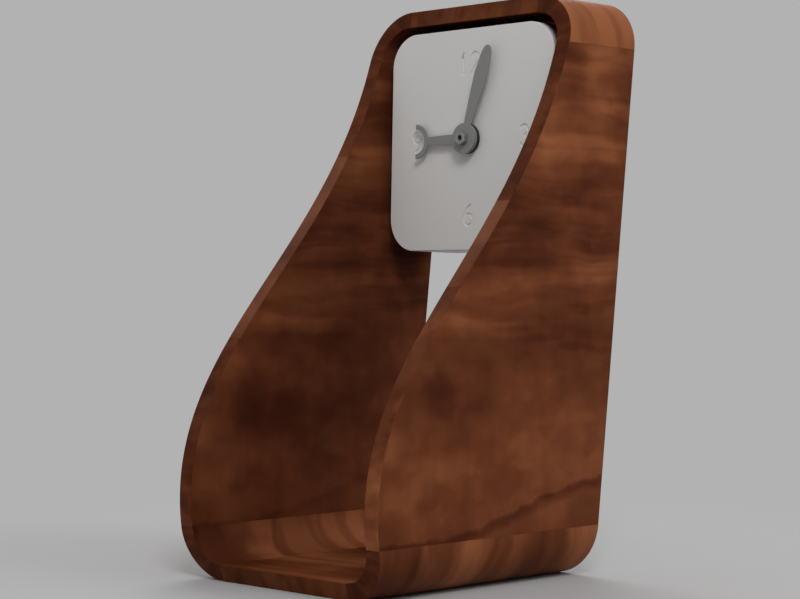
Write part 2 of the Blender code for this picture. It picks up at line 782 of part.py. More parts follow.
def build_housing():
    """Front shell with its gear cavity, battery bay and bosses; back lid; bush, nut and washer."""
    outline = rounded_square(movement_size, movement_corner, shell_corner_steps)
    front = place_in_dial("movement_shell", [prism(outline, movement_front, shell_back)], shell_black)
    pockets = [
        block((-half_cavity, plate_back, cavity_low), (half_cavity, shell_back + overrun, half_cavity)),
        block((-half_cavity, plate_back, bay_low), (half_cavity, shell_back + overrun, bay_high)),
    ]
    tool(front, "DIFFERENCE", pockets, dial_frame)
    start = plate_back - boss_overlap
    set_bore = set_pivot_radius + running_gap
    bosses = [
        tube(boss_radius, bearing, start, layer[2] - seat_gap, small_sides, third_axis),
        tube(boss_radius, bearing, start, layer[-1] - seat_gap, small_sides, rotor_axis),
        tube(set_bore + set_boss_wall, set_bore, start, layer[1] - seat_gap, small_sides, set_axis),
        prism(circle(set_post_radius, small_sides, minute_axis), start, layer[2] - seat_gap),
    ]
    for radius, top, spot in post_spots():
        bosses.append(prism(circle(radius, small_sides, spot), start, top))
    tool(front, "UNION", bosses, dial_frame)
    bush_hole = circle(bush_radius + seat_gap, round_sides)
    tool(front, "DIFFERENCE", [prism(bush_hole, movement_front - overrun, plate_back + overrun)], dial_frame)

    lid_low = cavity_low - shell_wall
    lid_outline = rectangle(movement_size, half_movement - lid_low, (0.0, (half_movement + lid_low) / 2.0))
    lid = place_in_dial("movement_lid", [prism(lid_outline, lid_front, movement_back)], shell_black)
    end = lid_front + boss_overlap
    bosses = [
        tube(boss_radius, bearing, layer[4], end, small_sides, third_axis),
        tube(boss_radius, bearing, layer[5], end, small_sides),
        tube(boss_radius, bearing, rotor_back + seat_gap, end, small_sides, rotor_axis),
        prism(circle(pivot_radius, small_sides, step_axis), layer[4], end),
    ]
    tool(lid, "UNION", bosses, dial_frame)
    shaft_hole = circle(set_shaft_radius + seat_gap, small_sides, set_axis)
    tool(lid, "DIFFERENCE", [prism(shaft_hole, lid_front - overrun, movement_back + overrun)], dial_frame)

    place_in_dial("threaded_bush", [tube(bush_radius, bush_bore, nut_front, plate_back)], brass)
    nut = tube(fixing_nut_radius, bush_radius + seat_gap, nut_front, -seat_gap)
    place_in_dial("fixing_nut", [nut], black_nut)
    washer_front = dial_thickness + seat_gap
    washer = tube(washer_radius, bush_radius + seat_gap, washer_front, washer_front + washer_thickness)
    place_in_dial("rubber_washer", [washer], rubber)


def build_motion_work():
    """Hour wheel, minute arbor with its cannon pinion, minute wheel and set knob."""
    cannon_turn = 0.0
    wheel_turn = mesh_turn(0.0, cannon_turn, cannon_teeth, minute_wheel_teeth)
    pinion_turn = 0.0
    hour_turn = mesh_turn(math.pi, pinion_turn, minute_pinion_teeth, hour_wheel_teeth)
    set_turn = mesh_turn(0.0, wheel_turn, minute_wheel_teeth, set_pinion_teeth)
    place_in_dial("hour_wheel", [stack([
        (circle(hour_tube_radius, round_sides), hour_hand_front, layer[0]),
        (gear(hour_wheel_teeth, hour_module, hour_turn), layer[0], layer[0] + wheel_thickness),
    ], hour_tube_bore)], brass)
    arbor = circle(minute_arbor_radius, small_sides)
    place_in_dial("minute_arbor", [stack([
        (arbor, minute_hand_front - minute_arbor_show, layer[1]),
        (gear(cannon_teeth, motion_module, cannon_turn), layer[1], layer[1] + wheel_thickness),
        (arbor, layer[1] + wheel_thickness, layer[2] + wheel_thickness),
    ], minute_arbor_bore)], brass)
    place_in_dial("minute_wheel", [stack([
        (gear(minute_pinion_teeth, hour_module, pinion_turn), layer[0], layer[1]),
        (gear(minute_wheel_teeth, motion_module, wheel_turn), layer[1], layer[1] + wheel_thickness),
    ], set_post_radius + running_gap)], gear_white, minute_axis)
    grips = []
    for i in range(2 * knob_grips):
        radius = knob_radius - (knob_grip_depth if i % 2 else 0.0)
        angle = math.pi * i / knob_grips
        grips.append((radius * math.cos(angle), radius * math.sin(angle)))
    knob_front = movement_back + seat_gap
    place_in_dial("set_knob", [stack([
        (circle(set_pivot_radius, small_sides), layer[0], layer[1]),
        (gear(set_pinion_teeth, motion_module, set_turn), layer[1], layer[1] + wheel_thickness),
        (circle(set_shaft_radius, small_sides), layer[1] + wheel_thickness, knob_front),
        (grips, knob_front, knob_front + knob_height),
    ])], knob_black, set_axis)


def build_time_train():
    """Rotor, step wheel, fourth, third and centre wheels, in mesh from one end to the other."""
    rotor_turn = 0.0
    away = step_direction + math.pi
    step_turn = mesh_turn(away, rotor_turn, rotor_pinion_teeth, step_wheel_teeth)
    fourth_turn = mesh_turn(away, step_turn, step_pinion_teeth, fourth_wheel_teeth)
    third_turn = mesh_turn(third_direction, fourth_turn, fourth_pinion_teeth, third_wheel_teeth)
    centre_turn = mesh_turn(third_direction + math.pi, third_turn, third_pinion_teeth, centre_wheel_teeth)
    pivot = circle(pivot_radius, small_sides)
    place_in_dial("centre_wheel", [stack([
        (gear(centre_wheel_teeth, centre_module, centre_turn), layer[2], layer[2] + wheel_thickness),
    ], minute_arbor_radius + running_gap)], gear_white)
    place_in_dial("third_wheel", [stack([
        (pivot, layer[2] - pivot_length, layer[2]),
        (gear(third_pinion_teeth, centre_module, third_turn), layer[2], layer[3]),
        (gear(third_wheel_teeth, fourth_module, third_turn), layer[3], layer[3] + wheel_thickness),
        (pivot, layer[3] + wheel_thickness, layer[4] + wheel_thickness),
    ])], gear_white, third_axis)
    place_in_dial("fourth_wheel", [stack([
        (pivot, layer[3] - pivot_length, layer[3]),
        (gear(fourth_pinion_teeth, fourth_module, fourth_turn), layer[3], layer[4]),
        (gear(fourth_wheel_teeth, step_module, fourth_turn), layer[4], layer[4] + wheel_thickness),
        (pivot, layer[4] + wheel_thickness, layer[5] + wheel_thickness),
    ])], gear_white)
    place_in_dial("step_wheel", [stack([
        (gear(step_pinion_teeth, step_module, step_turn), layer[4], layer[5]),
        (gear(step_wheel_teeth, step_module, step_turn), layer[5], layer[5] + wheel_thickness),
    ], pivot_radius + running_gap)], gear_white, step_axis)
    place_in_dial("rotor", [stack([
        (pivot, layer[5] - pivot_length, layer[5]),
        (gear(rotor_pinion_teeth, step_module, rotor_turn), layer[5], magnet_front),
        (circle(magnet_radius, small_sides), magnet_front, rotor_back),
        (pivot, rotor_back, rotor_back + pivot_length),
    ])], magnet_grey, rotor_axis)


def build_motor():
    """Stator plate round the rotor, and the coil on its core across the stator's legs."""
    x, z = rotor_axis
    inner = stator_half_span - stator_leg
    right = [
        (stator_foot_half, -stator_foot), (stator_half_span, stator_flank), (stator_half_span, stator_top),
        (inner, stator_top), (inner, stator_shoulder),
    ]
    outline = right + [(-u, v) for u, v in reversed(right)]
    plate = prism([(x + u, z + v) for u, v in outline], stator_front, stator_back)
    stator = place_in_dial("stator", [plate], steel)
    bore = circle(stator_bore, round_sides, rotor_axis)
    tool(stator, "DIFFERENCE", [prism(bore, stator_front - overrun, stator_back + overrun)], dial_frame)

    core_front = stator_back + seat_gap
    core_z = z + spool_rise
    core_low = (x - stator_half_span, core_front, core_z - core_height / 2.0)
    core_high = (x + stator_half_span, core_front + stator_thickness, core_z + core_height / 2.0)
    place_in_dial("coil_core", [block(core_low, core_high)], steel)
    spool_half = inner - seat_gap
    middle = (x, core_front + stator_thickness / 2.0, core_z)
    outside = [(spool_radius, -spool_half), (spool_radius, spool_flange - spool_half),
               (spool_core, spool_flange - spool_half), (spool_core, spool_half - spool_flange),
               (spool_radius, spool_half - spool_flange), (spool_radius, spool_half)]
    profile = [(spool_bore, -spool_half)] + outside + [(spool_bore, spool_half)]
    rings = [(at(circle(radius, small_sides), depth), "wall") for radius, depth in profile]
    place_in_dial("coil_bobbin", [along_x((rings, False), 1.0, middle)], shell_black)
    winding_half = spool_half - spool_flange - seat_gap
    winding = tube(spool_radius - seat_gap, spool_core + seat_gap, -winding_half, winding_half, small_sides)
    place_in_dial("coil_winding", [along_x(winding, 1.0, middle)], copper)


def build_electrics():
    """Circuit board with its crystal and chip, battery, and the two battery contacts."""
    place_in_dial("circuit_board", [block((board_left, board_front, board_low),
                                          (board_right, board_back, board_high))], board_green)
    can = turned([(crystal_radius, 0.0), (crystal_radius, crystal_length)], small_sides)
    can_place = (board_middle, board_back + seat_gap + crystal_radius, board_low + crystal_rise)
    place_in_dial("quartz_crystal", [along_z(can, can_place)], steel)
    chip_front = board_back + seat_gap
    crown = chip_radius * chip_crown_share
    dome = turned([(chip_radius, chip_front), (crown, chip_front + chip_height)], small_sides)
    place_in_dial("control_chip", [dome], black_nut, (board_middle, board_low + crystal_rise / 2.0))

    battery_y = plate_back + seat_gap + battery_radius
    half_length = battery_length / 2.0
    body_end = half_length - battery_button_length
    neck = battery_radius - battery_shoulder
    profile = [(neck, -half_length), (battery_radius, battery_shoulder - half_length),
               (battery_radius, body_end - battery_shoulder), (neck, body_end),
               (battery_button_radius, body_end), (battery_button_radius, half_length)]
    cell = along_x(turned(profile, round_sides), 1.0, (0.0, battery_y, 0.0))
    place_in_dial("battery", [cell], cell_green, (0.0, bay_middle))

    for name, sign in (("positive_contact", 1.0), ("negative_contact", -1.0)):
        outer = sign * (half_cavity - seat_gap)
        inner = outer - sign * contact_thickness
        low = (min(outer, inner), battery_y - contact_width / 2.0, bay_middle - contact_height / 2.0)
        high = (max(outer, inner), battery_y + contact_width / 2.0, bay_middle + contact_height / 2.0)
        place_in_dial(name, [block(low, high)], steel)


def blade_outline():
    """Outline of the minute hand along +z: its disc, a swelling blade and a rounded tip."""
    root = math.sqrt(minute_disc_radius ** 2 - (minute_root_width / 2.0) ** 2)
    widest = minute_hand_reach * minute_widest_share
    grow = (minute_blade_width - minute_root_width) / 2.0
    right = []
    for share in even(0.0, 1.0, blade_steps):
        half = minute_root_width / 2.0 + grow * (1.0 - (1.0 - share) ** minute_swell_power)
        right.append((half, root + (widest - root) * share))
    for angle in even(0.0, math.pi / 2.0, tip_steps)[1:-1]:
        half = minute_blade_width / 2.0 * math.cos(angle) ** (2.0 / minute_tip_power)
        rise = (minute_hand_reach - widest) * math.sin(angle) ** (2.0 / minute_tip_power)
        right.append((half, widest + rise))
    left = [(-u, v) for u, v in reversed(right)]
    edge = math.asin(minute_root_width / 2.0 / minute_disc_radius)
    disc = arc(minute_disc_radius, math.pi / 2.0 + edge, 2.5 * math.pi - edge, round_sides)
    return right + [(0.0, minute_hand_reach)] + left + disc[1:-1]


def ring_hand_outline():
    """Outline of the hour hand along +z: disc, tapered arm and a half ring open at its end."""
    half_root, half_end = hour_arm_root / 2.0, hour_arm_end / 2.0
    centre = (0.0, hour_ring_reach)
    join = math.asin(half_end / hour_ring_radius)
    inner_radius = hour_ring_radius - hour_ring_band
    right_outer = arc(hour_ring_radius, -math.pi / 2.0 + join, 0.0, ring_steps, centre)
    inside = arc(inner_radius, 0.0, -math.pi, 2 * ring_steps, centre)
    left_outer = arc(hour_ring_radius, -math.pi, -math.pi / 2.0 - join, ring_steps, centre)
    edge = math.asin(half_root / hour_disc_radius)
    disc = arc(hour_disc_radius, math.pi / 2.0 + edge, 2.5 * math.pi - edge, round_sides)
    return right_outer + inside + left_outer + disc


def turn_hand(outline, angle):
    """The outline turned clockwise from twelve by the angle."""
    c, s = math.cos(angle), math.sin(angle)
    return [(u * c + v * s, v * c - u * s) for u, v in outline]


def build_hands():
    """Hour hand, minute hand and the hexagonal nut that holds them."""
    hour = turn_hand(ring_hand_outline(), hour_hand_angle)
    shape = stack([(hour, hour_hand_front, hour_hand_back)], hour_tube_radius + running_gap)
    place_in_dial("hour_hand", [shape], hand_grey)
    minute = turn_hand(blade_outline(), minute_hand_angle)
    shape = stack([(minute, minute_hand_front, minute_hand_back)], minute_arbor_radius + running_gap)
    place_in_dial("minute_hand", [shape], hand_grey)
    nut_back = minute_hand_front - minute_nut_gap
    hexagon = turn_hand(circle(minute_nut_radius, minute_nut_sides), math.pi / 2.0)
    nut = stack([(hexagon, nut_back - minute_nut_height, nut_back)], minute_nut_bore)
    place_in_dial("minute_nut", [nut], nut_grey)


build_housing()
build_motion_work()
build_time_train()
build_motor()
build_electrics()
build_hands()
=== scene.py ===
"""A desk clock in its walnut loop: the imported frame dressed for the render, in metres."""

import math

import bmesh
import bpy
import numpy as np
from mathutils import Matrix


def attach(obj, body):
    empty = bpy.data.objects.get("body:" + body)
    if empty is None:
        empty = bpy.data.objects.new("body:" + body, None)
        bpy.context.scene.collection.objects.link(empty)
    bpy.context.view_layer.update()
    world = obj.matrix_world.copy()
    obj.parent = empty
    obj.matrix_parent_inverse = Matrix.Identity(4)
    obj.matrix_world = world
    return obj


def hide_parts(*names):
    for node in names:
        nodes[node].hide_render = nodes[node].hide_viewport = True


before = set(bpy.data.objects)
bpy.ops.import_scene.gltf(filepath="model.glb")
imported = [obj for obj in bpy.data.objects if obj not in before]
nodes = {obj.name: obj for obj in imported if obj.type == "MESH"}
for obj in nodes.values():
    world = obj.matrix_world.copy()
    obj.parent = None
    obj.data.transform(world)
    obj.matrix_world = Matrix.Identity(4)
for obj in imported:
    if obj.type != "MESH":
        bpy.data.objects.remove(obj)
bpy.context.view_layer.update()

mm = 0.001

# Wooden loop
loop_height = 240 * mm
loop_width = 116.8 * mm
wall = 7 * mm
corner_radius = 21.2 * mm
back_lean = 28.3 * mm
front_play = 0.03 * mm
centre_shift = 48.057 * mm
front_corners = np.array([(-118.6, 0.0), (-151.7, 96.5), (-33.7, 125.0), (-10.8, 240.0)]) * mm
wood_edge = 0.25 * mm
joint_edge = 0.06 * mm
joint_play = 0.01 * mm
edge_support = 0.12 * mm
smooth_limit = math.radians(35.0)

# Dial case
case_size = 94.8 * mm
case_corner = 14.4 * mm
case_depth = 28 * mm
case_edge = 0.3 * mm
case_wall = 4 * mm
dial_thickness = 4 * mm
cavity_corner = 22 * mm
rim_width = 2 * mm
cover_thickness = 2.5 * mm
cover_edge = 0.4 * mm
seat_gap = 0.3 * mm
window_size = 60 * mm
window_corner = 5 * mm
rebate_floor = case_depth - cover_thickness - seat_gap
hub_hole = 4.3 * mm
cover_screw_inset = 7.3 * mm
cover_screw_radius = 1.5 * mm
cover_screw_length = 10 * mm
cover_head_radius = 2.8 * mm
cover_head_height = 1.6 * mm
screw_slot_half = 0.4 * mm
screw_slot_depth = 0.8 * mm
screw_turn = math.radians(35.0)
side_screw_rise = 16 * mm
side_screw_depth = 20 * mm
side_screw_radius = 1.75 * mm
overrun = 0.5 * mm
bore_steps = 24
square_steps = 24

# Numerals
numeral_height = 10 * mm
numeral_stroke = 1.3 * mm
numeral_depth = 0.40 * mm
numeral_bowl = 6.1 * mm
numeral_width = 5.6 * mm
one_offset = 4.2 * mm
two_offset = 2.6 * mm
numeral_reach_x = 31.2 * mm
numeral_reach_z = 32.5 * mm
one_flag = 1.5 * mm
one_base = 2.6 * mm
three_upper_share = 0.48
three_end = math.radians(160.0)
two_hook = math.radians(170.0), math.radians(-38.0)
six_sweep = math.radians(80.0)

# Hands and nuts: depths count from the dial's face, and are negative in front of it
hour_angle = math.radians(270.0)
minute_angle = math.radians(19.5)
hour_front, hour_back = -2.8 * mm, -2 * mm
hour_disc = 6.4 * mm
hour_arm_root = 4.5 * mm
hour_arm_end = 3.6 * mm
hour_ring_reach = 29.8 * mm
hour_ring_radius = 7.55 * mm
hour_ring_band = 2.2 * mm
hour_bore = 2.85 * mm
minute_front, minute_back = -4 * mm, -3.3 * mm
minute_disc = 6.6 * mm
minute_reach = 41.2 * mm
minute_root = 4 * mm
minute_blade = 7.3 * mm
minute_widest_share = 0.69
minute_swell = 1.25
minute_tip_taper = 0.30
minute_tip_power = 7
minute_bore = 1.65 * mm
hand_edge = 0.16 * mm
nut_front, nut_back = -6.3 * mm, -4.15 * mm
nut_radius = 3 * mm
nut_bore = 1.2 * mm
nut_edge = 0.15 * mm
nut_corner_share = 0.98
fixing_front, fixing_back = -1.7 * mm, -0.3 * mm
fixing_radius = 6.4 * mm
fixing_bore = 4 * mm
fixing_edge = 0.2 * mm

# Battery: its axis runs along x
battery_y = 14.15 * mm
battery_z = -18.9 * mm

# The dial's own frame: its place in the clock, and how far its face leans back
dial_forward = 13.4 * mm
dial_drop = 3.3 * mm
dial_place = np.array([0.0, centre_shift - dial_forward, loop_height - wall - dial_drop - case_size / 2.0])
dial_lean = math.radians(1.41)


def in_clock(points):
    """Dial points turned back about x by the lean, then moved to the dial's place."""
    x, y, z = np.moveaxis(np.asarray(points, dtype=float), -1, 0)
    c, s = math.cos(dial_lean), math.sin(dial_lean)
    return np.stack([x, y * c + z * s, z * c - y * s], axis=-1) + dial_place


def bezier(corners, count):
    """Cubic curve: the four corners weighted by (1-t)^3, 3t(1-t)^2, 3t^2(1-t) and t^3."""
    t = np.linspace(0.0, 1.0, count)[:, None]
    s = 1.0 - t
    a, b, c, d = corners
    return a * s ** 3 + 3.0 * b * t * s ** 2 + 3.0 * c * t ** 2 * s + d * t ** 3


front_curve = bezier(front_corners, 4001)


def front_y(z):
    """Depth of the loop's front edge at height z, read off the curve."""
    return np.interp(z, front_curve[:, 1], front_curve[:, 0]) + centre_shift


def back_y(z):
    """Depth of the loop's back edge at height z: a straight line that leans back."""
    return back_lean * z / loop_height + centre_shift


# Outlines in the plane of the dial, as (x, z) rows
def arc(radius, start, end, steps, centre=(0.0, 0.0)):
    """Points of a circle's arc: centre plus radius times (cos a, sin a)."""
    a = np.linspace(start, end, steps + 1)
    return np.array(centre) + radius * np.stack([np.cos(a), np.sin(a)], axis=-1)


def circle(radius, steps, centre=(0.0, 0.0)):
    """A whole circle, without its last point."""
    return arc(radius, 0.0, 2.0 * math.pi, steps, centre)[:-1]


def rounded_square(size, radius, steps):
    """Four quarter arcs whose centres are drawn in from the square's corners by the radius."""
    inset = size / 2.0 - radius
    turns = [arc(radius, q * math.pi / 2.0, (q + 1) * math.pi / 2.0, steps, (inset * sx, inset * sz))
             for q, (sx, sz) in enumerate([(1, 1), (-1, 1), (-1, -1), (1, -1)])]
    return np.concatenate(turns)


def drawn_in(outline, inset):
    """The outline moved inwards by the inset along the mean of its two edge normals, mitred."""
    edge = np.roll(outline, -1, axis=0) - outline
    edge = edge / np.maximum(np.linalg.norm(edge, axis=1, keepdims=True), 1e-12)
    normal = np.stack([edge[:, 1], -edge[:, 0]], axis=-1)
    x, z = outline.T
    if np.sum(x * np.roll(z, -1) - np.roll(x, -1) * z) < 0.0:
        normal = -normal
    before = np.roll(normal, 1, axis=0)
    mitre = (normal + before) / (1.0 + np.sum(normal * before, axis=1, keepdims=True))
    return outline - mitre * inset


def turned_from_twelve(outline, angle):
    """The outline turned clockwise by the angle: (x, z) becomes (x c + z s, z c - x s)."""
    c, s = math.cos(angle), math.sin(angle)
    return np.stack([outline[:, 0] * c + outline[:, 1] * s, outline[:, 1] * c - outline[:, 0] * s], axis=-1)


def at_depth(outline, depth):
    """The outline as points of the dial's frame at one depth."""
    return np.stack([outline[:, 0], np.full(len(outline), depth), outline[:, 1]], axis=-1)


# Meshes
def ring_quads(rows, columns, closed=False):
    """Quads that join each point to the next in its ring and to the same two of the next ring."""
    r = np.arange(rows if closed else rows - 1)[:, None]
    c = np.arange(columns)[None, :]
    following = (r + 1) % rows
    beside = (c + 1) % columns
    quads = [r * columns + c, r * columns + beside, following * columns + beside, following * columns + c]
    return np.stack(np.broadcast_arrays(*quads), axis=-1).reshape(-1, 4)


def ring_faces(rows, columns, closed=False, first=0):
    """Quads from ring to ring and, unless the body closes on itself, one face at each of its ends."""
    faces = (ring_quads(rows, columns, closed) + first).tolist()
    if not closed:
        starts = (first, first + (rows - 1) * columns)
        faces += [list(range(start, start + columns)) for start in starts]
    return faces


def in_scene(name, data):
    """An object of the data, linked to the scene."""
    obj = bpy.data.objects.new(name, data)
    bpy.context.scene.collection.objects.link(obj)
    return obj


def new_object(name, points, faces, materials):
    """A mesh object of points and faces with its materials."""
    mesh = bpy.data.meshes.new(name)
    mesh.from_pydata(np.asarray(points).reshape(-1, 3).tolist(), [], faces)
    for material in materials:
        mesh.materials.append(material)
    return in_scene(name, mesh)


def settle(obj):
    """Turns the faces outwards and shades them smooth, except across edges sharper than the limit."""
    bm = bmesh.new()
    bm.from_mesh(obj.data)
    bmesh.ops.recalc_face_normals(bm, faces=bm.faces)
    bm.to_mesh(obj.data)
    bm.free()
    obj.data.shade_smooth()
    obj.data.set_sharp_from_angle(angle=smooth_limit)
    return obj


def loft(name, rings, material, closed=False):
    """A closed body through rings of equal count, which are given in the dial's frame."""
    rings = np.asarray(rings)
    return settle(new_object(name, in_clock(rings), ring_faces(*rings.shape[:2], closed), [material]))


def edge_round(edge, steps=3):
    """A quarter round as (inset, depth): edge * (1 - sin a) and edge * (1 - cos a)."""
    a = np.linspace(0.0, math.pi / 2.0, steps + 1)
    return edge * (1.0 - np.sin(a)), edge * (1.0 - np.cos(a))


def plate_rings(outline, front, back, edge, steps):
    """Rings of a plate whose two edges are quarter rounds, each with a support ring beside it."""
    inset, depth = edge_round(edge, steps)
    support = min(edge_support, (back - front) / 2.0 - edge) / 2.0
    insets = np.concatenate([[edge + support], inset, [0.0, 0.0], inset[::-1], [edge + support]])
    depths = np.concatenate([[front], front + depth, [front + edge + support, back - edge - support],
                             back - depth[::-1], [back]])
    return [at_depth(drawn_in(outline, i), d) for i, d in zip(insets, depths)]


def collar_rings(outer, inner, front, back, edge):
    """Rings of a plate with a hole, whose outlines have equal counts and four quarter rounds."""
    inset, depth = edge_round(edge)
    insets = np.concatenate([inset, inset[::-1]])
    depths = np.concatenate([front + depth, back - depth[::-1]])
    rings = [at_depth(drawn_in(outer, i), d) for i, d in zip(insets, depths)]
    return rings + [at_depth(drawn_in(inner, -i), d) for i, d in zip(insets[::-1], depths[::-1])]


def turned_rings(profile, steps, centre=(0.0, 0.0)):
    """Rings of a body turned about the depth axis, from (radius, depth) rows."""
    return [at_depth(circle(radius, steps, centre), depth) for radius, depth in profile]


def along_x(rings, centre):
    """Rings turned so that their depth runs along x from the centre."""
    rings = np.asarray(rings)
    return np.stack([rings[..., 1], rings[..., 0], rings[..., 2]], axis=-1) + np.array(centre)


def carve(obj, tools, crossing=False):
    """Cuts the tools out of the object, makes the cuts its mesh and takes the tools away."""
    for cutter in tools:
        cut = obj.modifiers.new("cut", "BOOLEAN")
        cut.operation = "DIFFERENCE"
        cut.solver = "EXACT"
        cut.use_self = crossing
        cut.object = cutter
    graph = bpy.context.evaluated_depsgraph_get()
    mesh = bpy.data.meshes.new_from_object(obj.evaluated_get(graph), depsgraph=graph)
    obj.modifiers.clear()
    obj.data = mesh
    for cutter in tools:
        bpy.data.objects.remove(cutter)
    settle(obj)


def prism(name, outline, start, end):
    """A cutting prism of one outline."""
    return loft(name, [at_depth(outline, start), at_depth(outline, end)], None)


# Shader parts
def feed(value, socket):
    """Links a socket, or writes a plain value; a plain colour is made opaque."""
    if isinstance(value, bpy.types.NodeSocket):
        socket.id_data.links.new(value, socket)
    else:
        socket.default_value = (*value, 1.0) if socket.type == "RGBA" else value


def add_node(kind, values=(), tree=None, **settings):
    """A shader node of a kind with its settings, whose inputs are fed by name or in their order.

    Without a tree it joins the tree of the first socket among its values.
    """
    values = dict(values if isinstance(values, dict) else enumerate(values))
    fed = [value.id_data for value in values.values() if isinstance(value, bpy.types.NodeSocket)]
    node = (tree or fed[0]).nodes.new("ShaderNode" + kind)
    for key, value in settings.items():
        setattr(node, key, value)
    for key, value in values.items():
        feed(value, node.inputs[key])
    return node


def maths(operation, *inputs, clamp=False):
    """A Math node."""
    return add_node("Math", inputs, operation=operation, use_clamp=clamp).outputs[0]


def vector_maths(operation, *inputs):
    """A Vector Math node; a length and a dot product are numbers."""
    node = add_node("VectorMath", inputs, operation=operation)
    return node.outputs["Value" if operation in ("LENGTH", "DOT_PRODUCT") else "Vector"]


def scaled(colour, factor):
    """A colour times a factor."""
    return add_node("VectorMath", {0: colour, "Scale": factor}, operation="SCALE").outputs[0]


def ranged(value, low, high, to_low=0.0, to_high=1.0, smooth=True):
    """A Map Range node from low and high to the other two, eased at both ends unless smooth is off."""
    return add_node("MapRange", (value, low, high, to_low, to_high),
                    interpolation_type="SMOOTHSTEP" if smooth else "LINEAR").outputs["Result"]


def mixed(factor, first, second):
    """A blend of two colours, which are this node's inputs 6 and 7 and its output 2."""
    return add_node("Mix", {0: factor, 6: first, 7: second}, data_type="RGBA").outputs[2]


def noise(place, scale, detail, roughness=0.5):
    """The outputs of a Noise Texture node."""
    return add_node("TexNoise", {"Vector": place, "Scale": scale, "Detail": detail,
                                 "Roughness": roughness}).outputs


def split_axes(place):
    """The X, Y and Z of a place."""
    return add_node("SeparateXYZ", (place,)).outputs


def object_place(host):
    """The place on the piece in the clock's own metres, in the tree of a node or socket."""
    return add_node("TexCoord", tree=host.id_data).outputs["Object"]


def new_group(name, inputs, outputs):
    """A shader group: its inputs' plain values say their kinds, and its outputs are numbers.

    Returns its tree and the sockets that bring its inputs in and take its outputs out.
    """
    tree = bpy.data.node_groups.new(name, "ShaderNodeTree")
    for label, value in inputs.items():
        kind = "NodeSocketVector" if isinstance(value, tuple) else "NodeSocketFloat"
        tree.interface.new_socket(label, in_out="INPUT", socket_type=kind).default_value = value
    for label in outputs:
        tree.interface.new_socket(label, in_out="OUTPUT", socket_type="NodeSocketFloat")
    return tree, tree.nodes.new("NodeGroupInput").outputs, tree.nodes.new("NodeGroupOutput").inputs


nowhere = (0.0, 0.0, 0.0)
middle_grey = (0.5, 0.5, 0.5)


def grain_group():
    """Noise stretched along the grain: the place is swayed, scaled across and along, and cut to a range."""
    tree, given, out = new_group("stretched_grain", {
        "Place": nowhere, "Across": 100.0, "Along": 10.0, "Sway": 0.0, "Low": 0.35, "High": 0.65,
        "Seed": 0.0}, ["Value"])
    wander = noise(given["Place"], 28.0, 2.0)["Color"]
    sway = add_node("CombineXYZ", {"X": given["Sway"], "Y": given["Sway"]}).outputs[0]
    offset = vector_maths("MULTIPLY", vector_maths("SUBTRACT", wander, middle_grey), sway)
    moved = vector_maths("ADD", given["Place"], offset)
    stretch = add_node("CombineXYZ", (given["Across"], given["Along"], 1.0)).outputs[0]
    shift = add_node("CombineXYZ", {"Z": given["Seed"]}).outputs[0]
    place = vector_maths("ADD", vector_maths("MULTIPLY", moved, stretch), shift)
    grain = noise(place, 1.0, 2.0, 0.45)["Fac"]
    feed(ranged(grain, given["Low"], given["High"]), out["Value"])
    return tree


def spot_group():
    """A soft spot: one at the centre and none from a distance of one, in units of Reach along each axis.

    A noise times Ragged is added to the distance, so that the spot's edge is uneven.
    """
    tree, given, out = new_group("soft_spot", {
        "Place": nowhere, "Centre": nowhere, "Reach": (1.0, 1.0, 1.0), "Ragged": 0.3}, ["Mask"])
    away = vector_maths("DIVIDE", vector_maths("SUBTRACT", given["Place"], given["Centre"]), given["Reach"])
    uneven = maths("SUBTRACT", noise(given["Place"], 90.0, 2.0)["Fac"], 0.5)
    distance = maths("MULTIPLY_ADD", uneven, given["Ragged"], vector_maths("LENGTH", away))
    feed(ranged(distance, 1.0, 0.15), out["Mask"])
    return tree


def mottle_group():
    """Fine even unevenness in three dimensions, centred on one, for tone and for a moulded skin."""
    tree, given, out = new_group("fine_mottle", {"Place": nowhere, "Scale": 400.0, "Amount": 0.1},
                                 ["Factor", "Height"])
    height = noise(given["Place"], given["Scale"], 3.0, 0.6)["Fac"]
    swing = maths("SUBTRACT", height, 0.5)
    feed(maths("MULTIPLY_ADD", swing, given["Amount"], 1.0), out["Factor"])
    feed(height, out["Height"])
    return tree


grain_tree = grain_group()
spot_tree = spot_group()
mottle_tree = mottle_group()


def use_group(group, **values):
    """The outputs of a group, whose inputs are fed by their names."""
    return add_node("Group", values, node_tree=group).outputs


def new_finish(name, roughness, metallic=0.0, specular=0.5):
    """A material with its shader's plain values set."""
    material = bpy.data.materials.new(name)
    material.use_nodes = True
    shader = material.node_tree.nodes["Principled BSDF"]
    for label, value in (("Roughness", roughness), ("Metallic", metallic), ("Specular IOR Level", specular)):
        feed(value, shader.inputs[label])
    return material, shader


def bump(shader, height, distance, strength=1.0):
    """A bump of a height into the shader's normal; the distance is the height's full rise in metres."""
    relief = add_node("Bump", {"Strength": strength, "Distance": distance, "Height": height})
    feed(relief.outputs[0], shader.inputs["Normal"])


# Walnut, whose tone runs from zero to one through these colours
walnut_tones = ((0.0, (0.034, 0.0072, 0.0032)), (0.35, (0.090, 0.0228, 0.0092)),
                (0.65, (0.165, 0.0485, 0.0190)), (1.0, (0.310, 0.104, 0.042)))
wood_roughness = 0.46
wood_relief = 0.04 * mm
pore_shade = 0.02
# Painted shade on the arrises, which dims the highlight that the rounded edges catch
arris_painted_shade = 0.03


def toned(tone):
    """The walnut's colour at a tone."""
    ramp = add_node("ValToRGB", (tone,))
    stops = ramp.color_ramp.elements
    (low, dark), *between, (high, pale) = walnut_tones
    stops[0].position, stops[0].color = low, (*dark, 1.0)
    stops[1].position, stops[1].color = high, (*pale, 1.0)
    for position, colour in between:
        stops.new(position).color = (*colour, 1.0)
    return ramp.outputs["Color"]


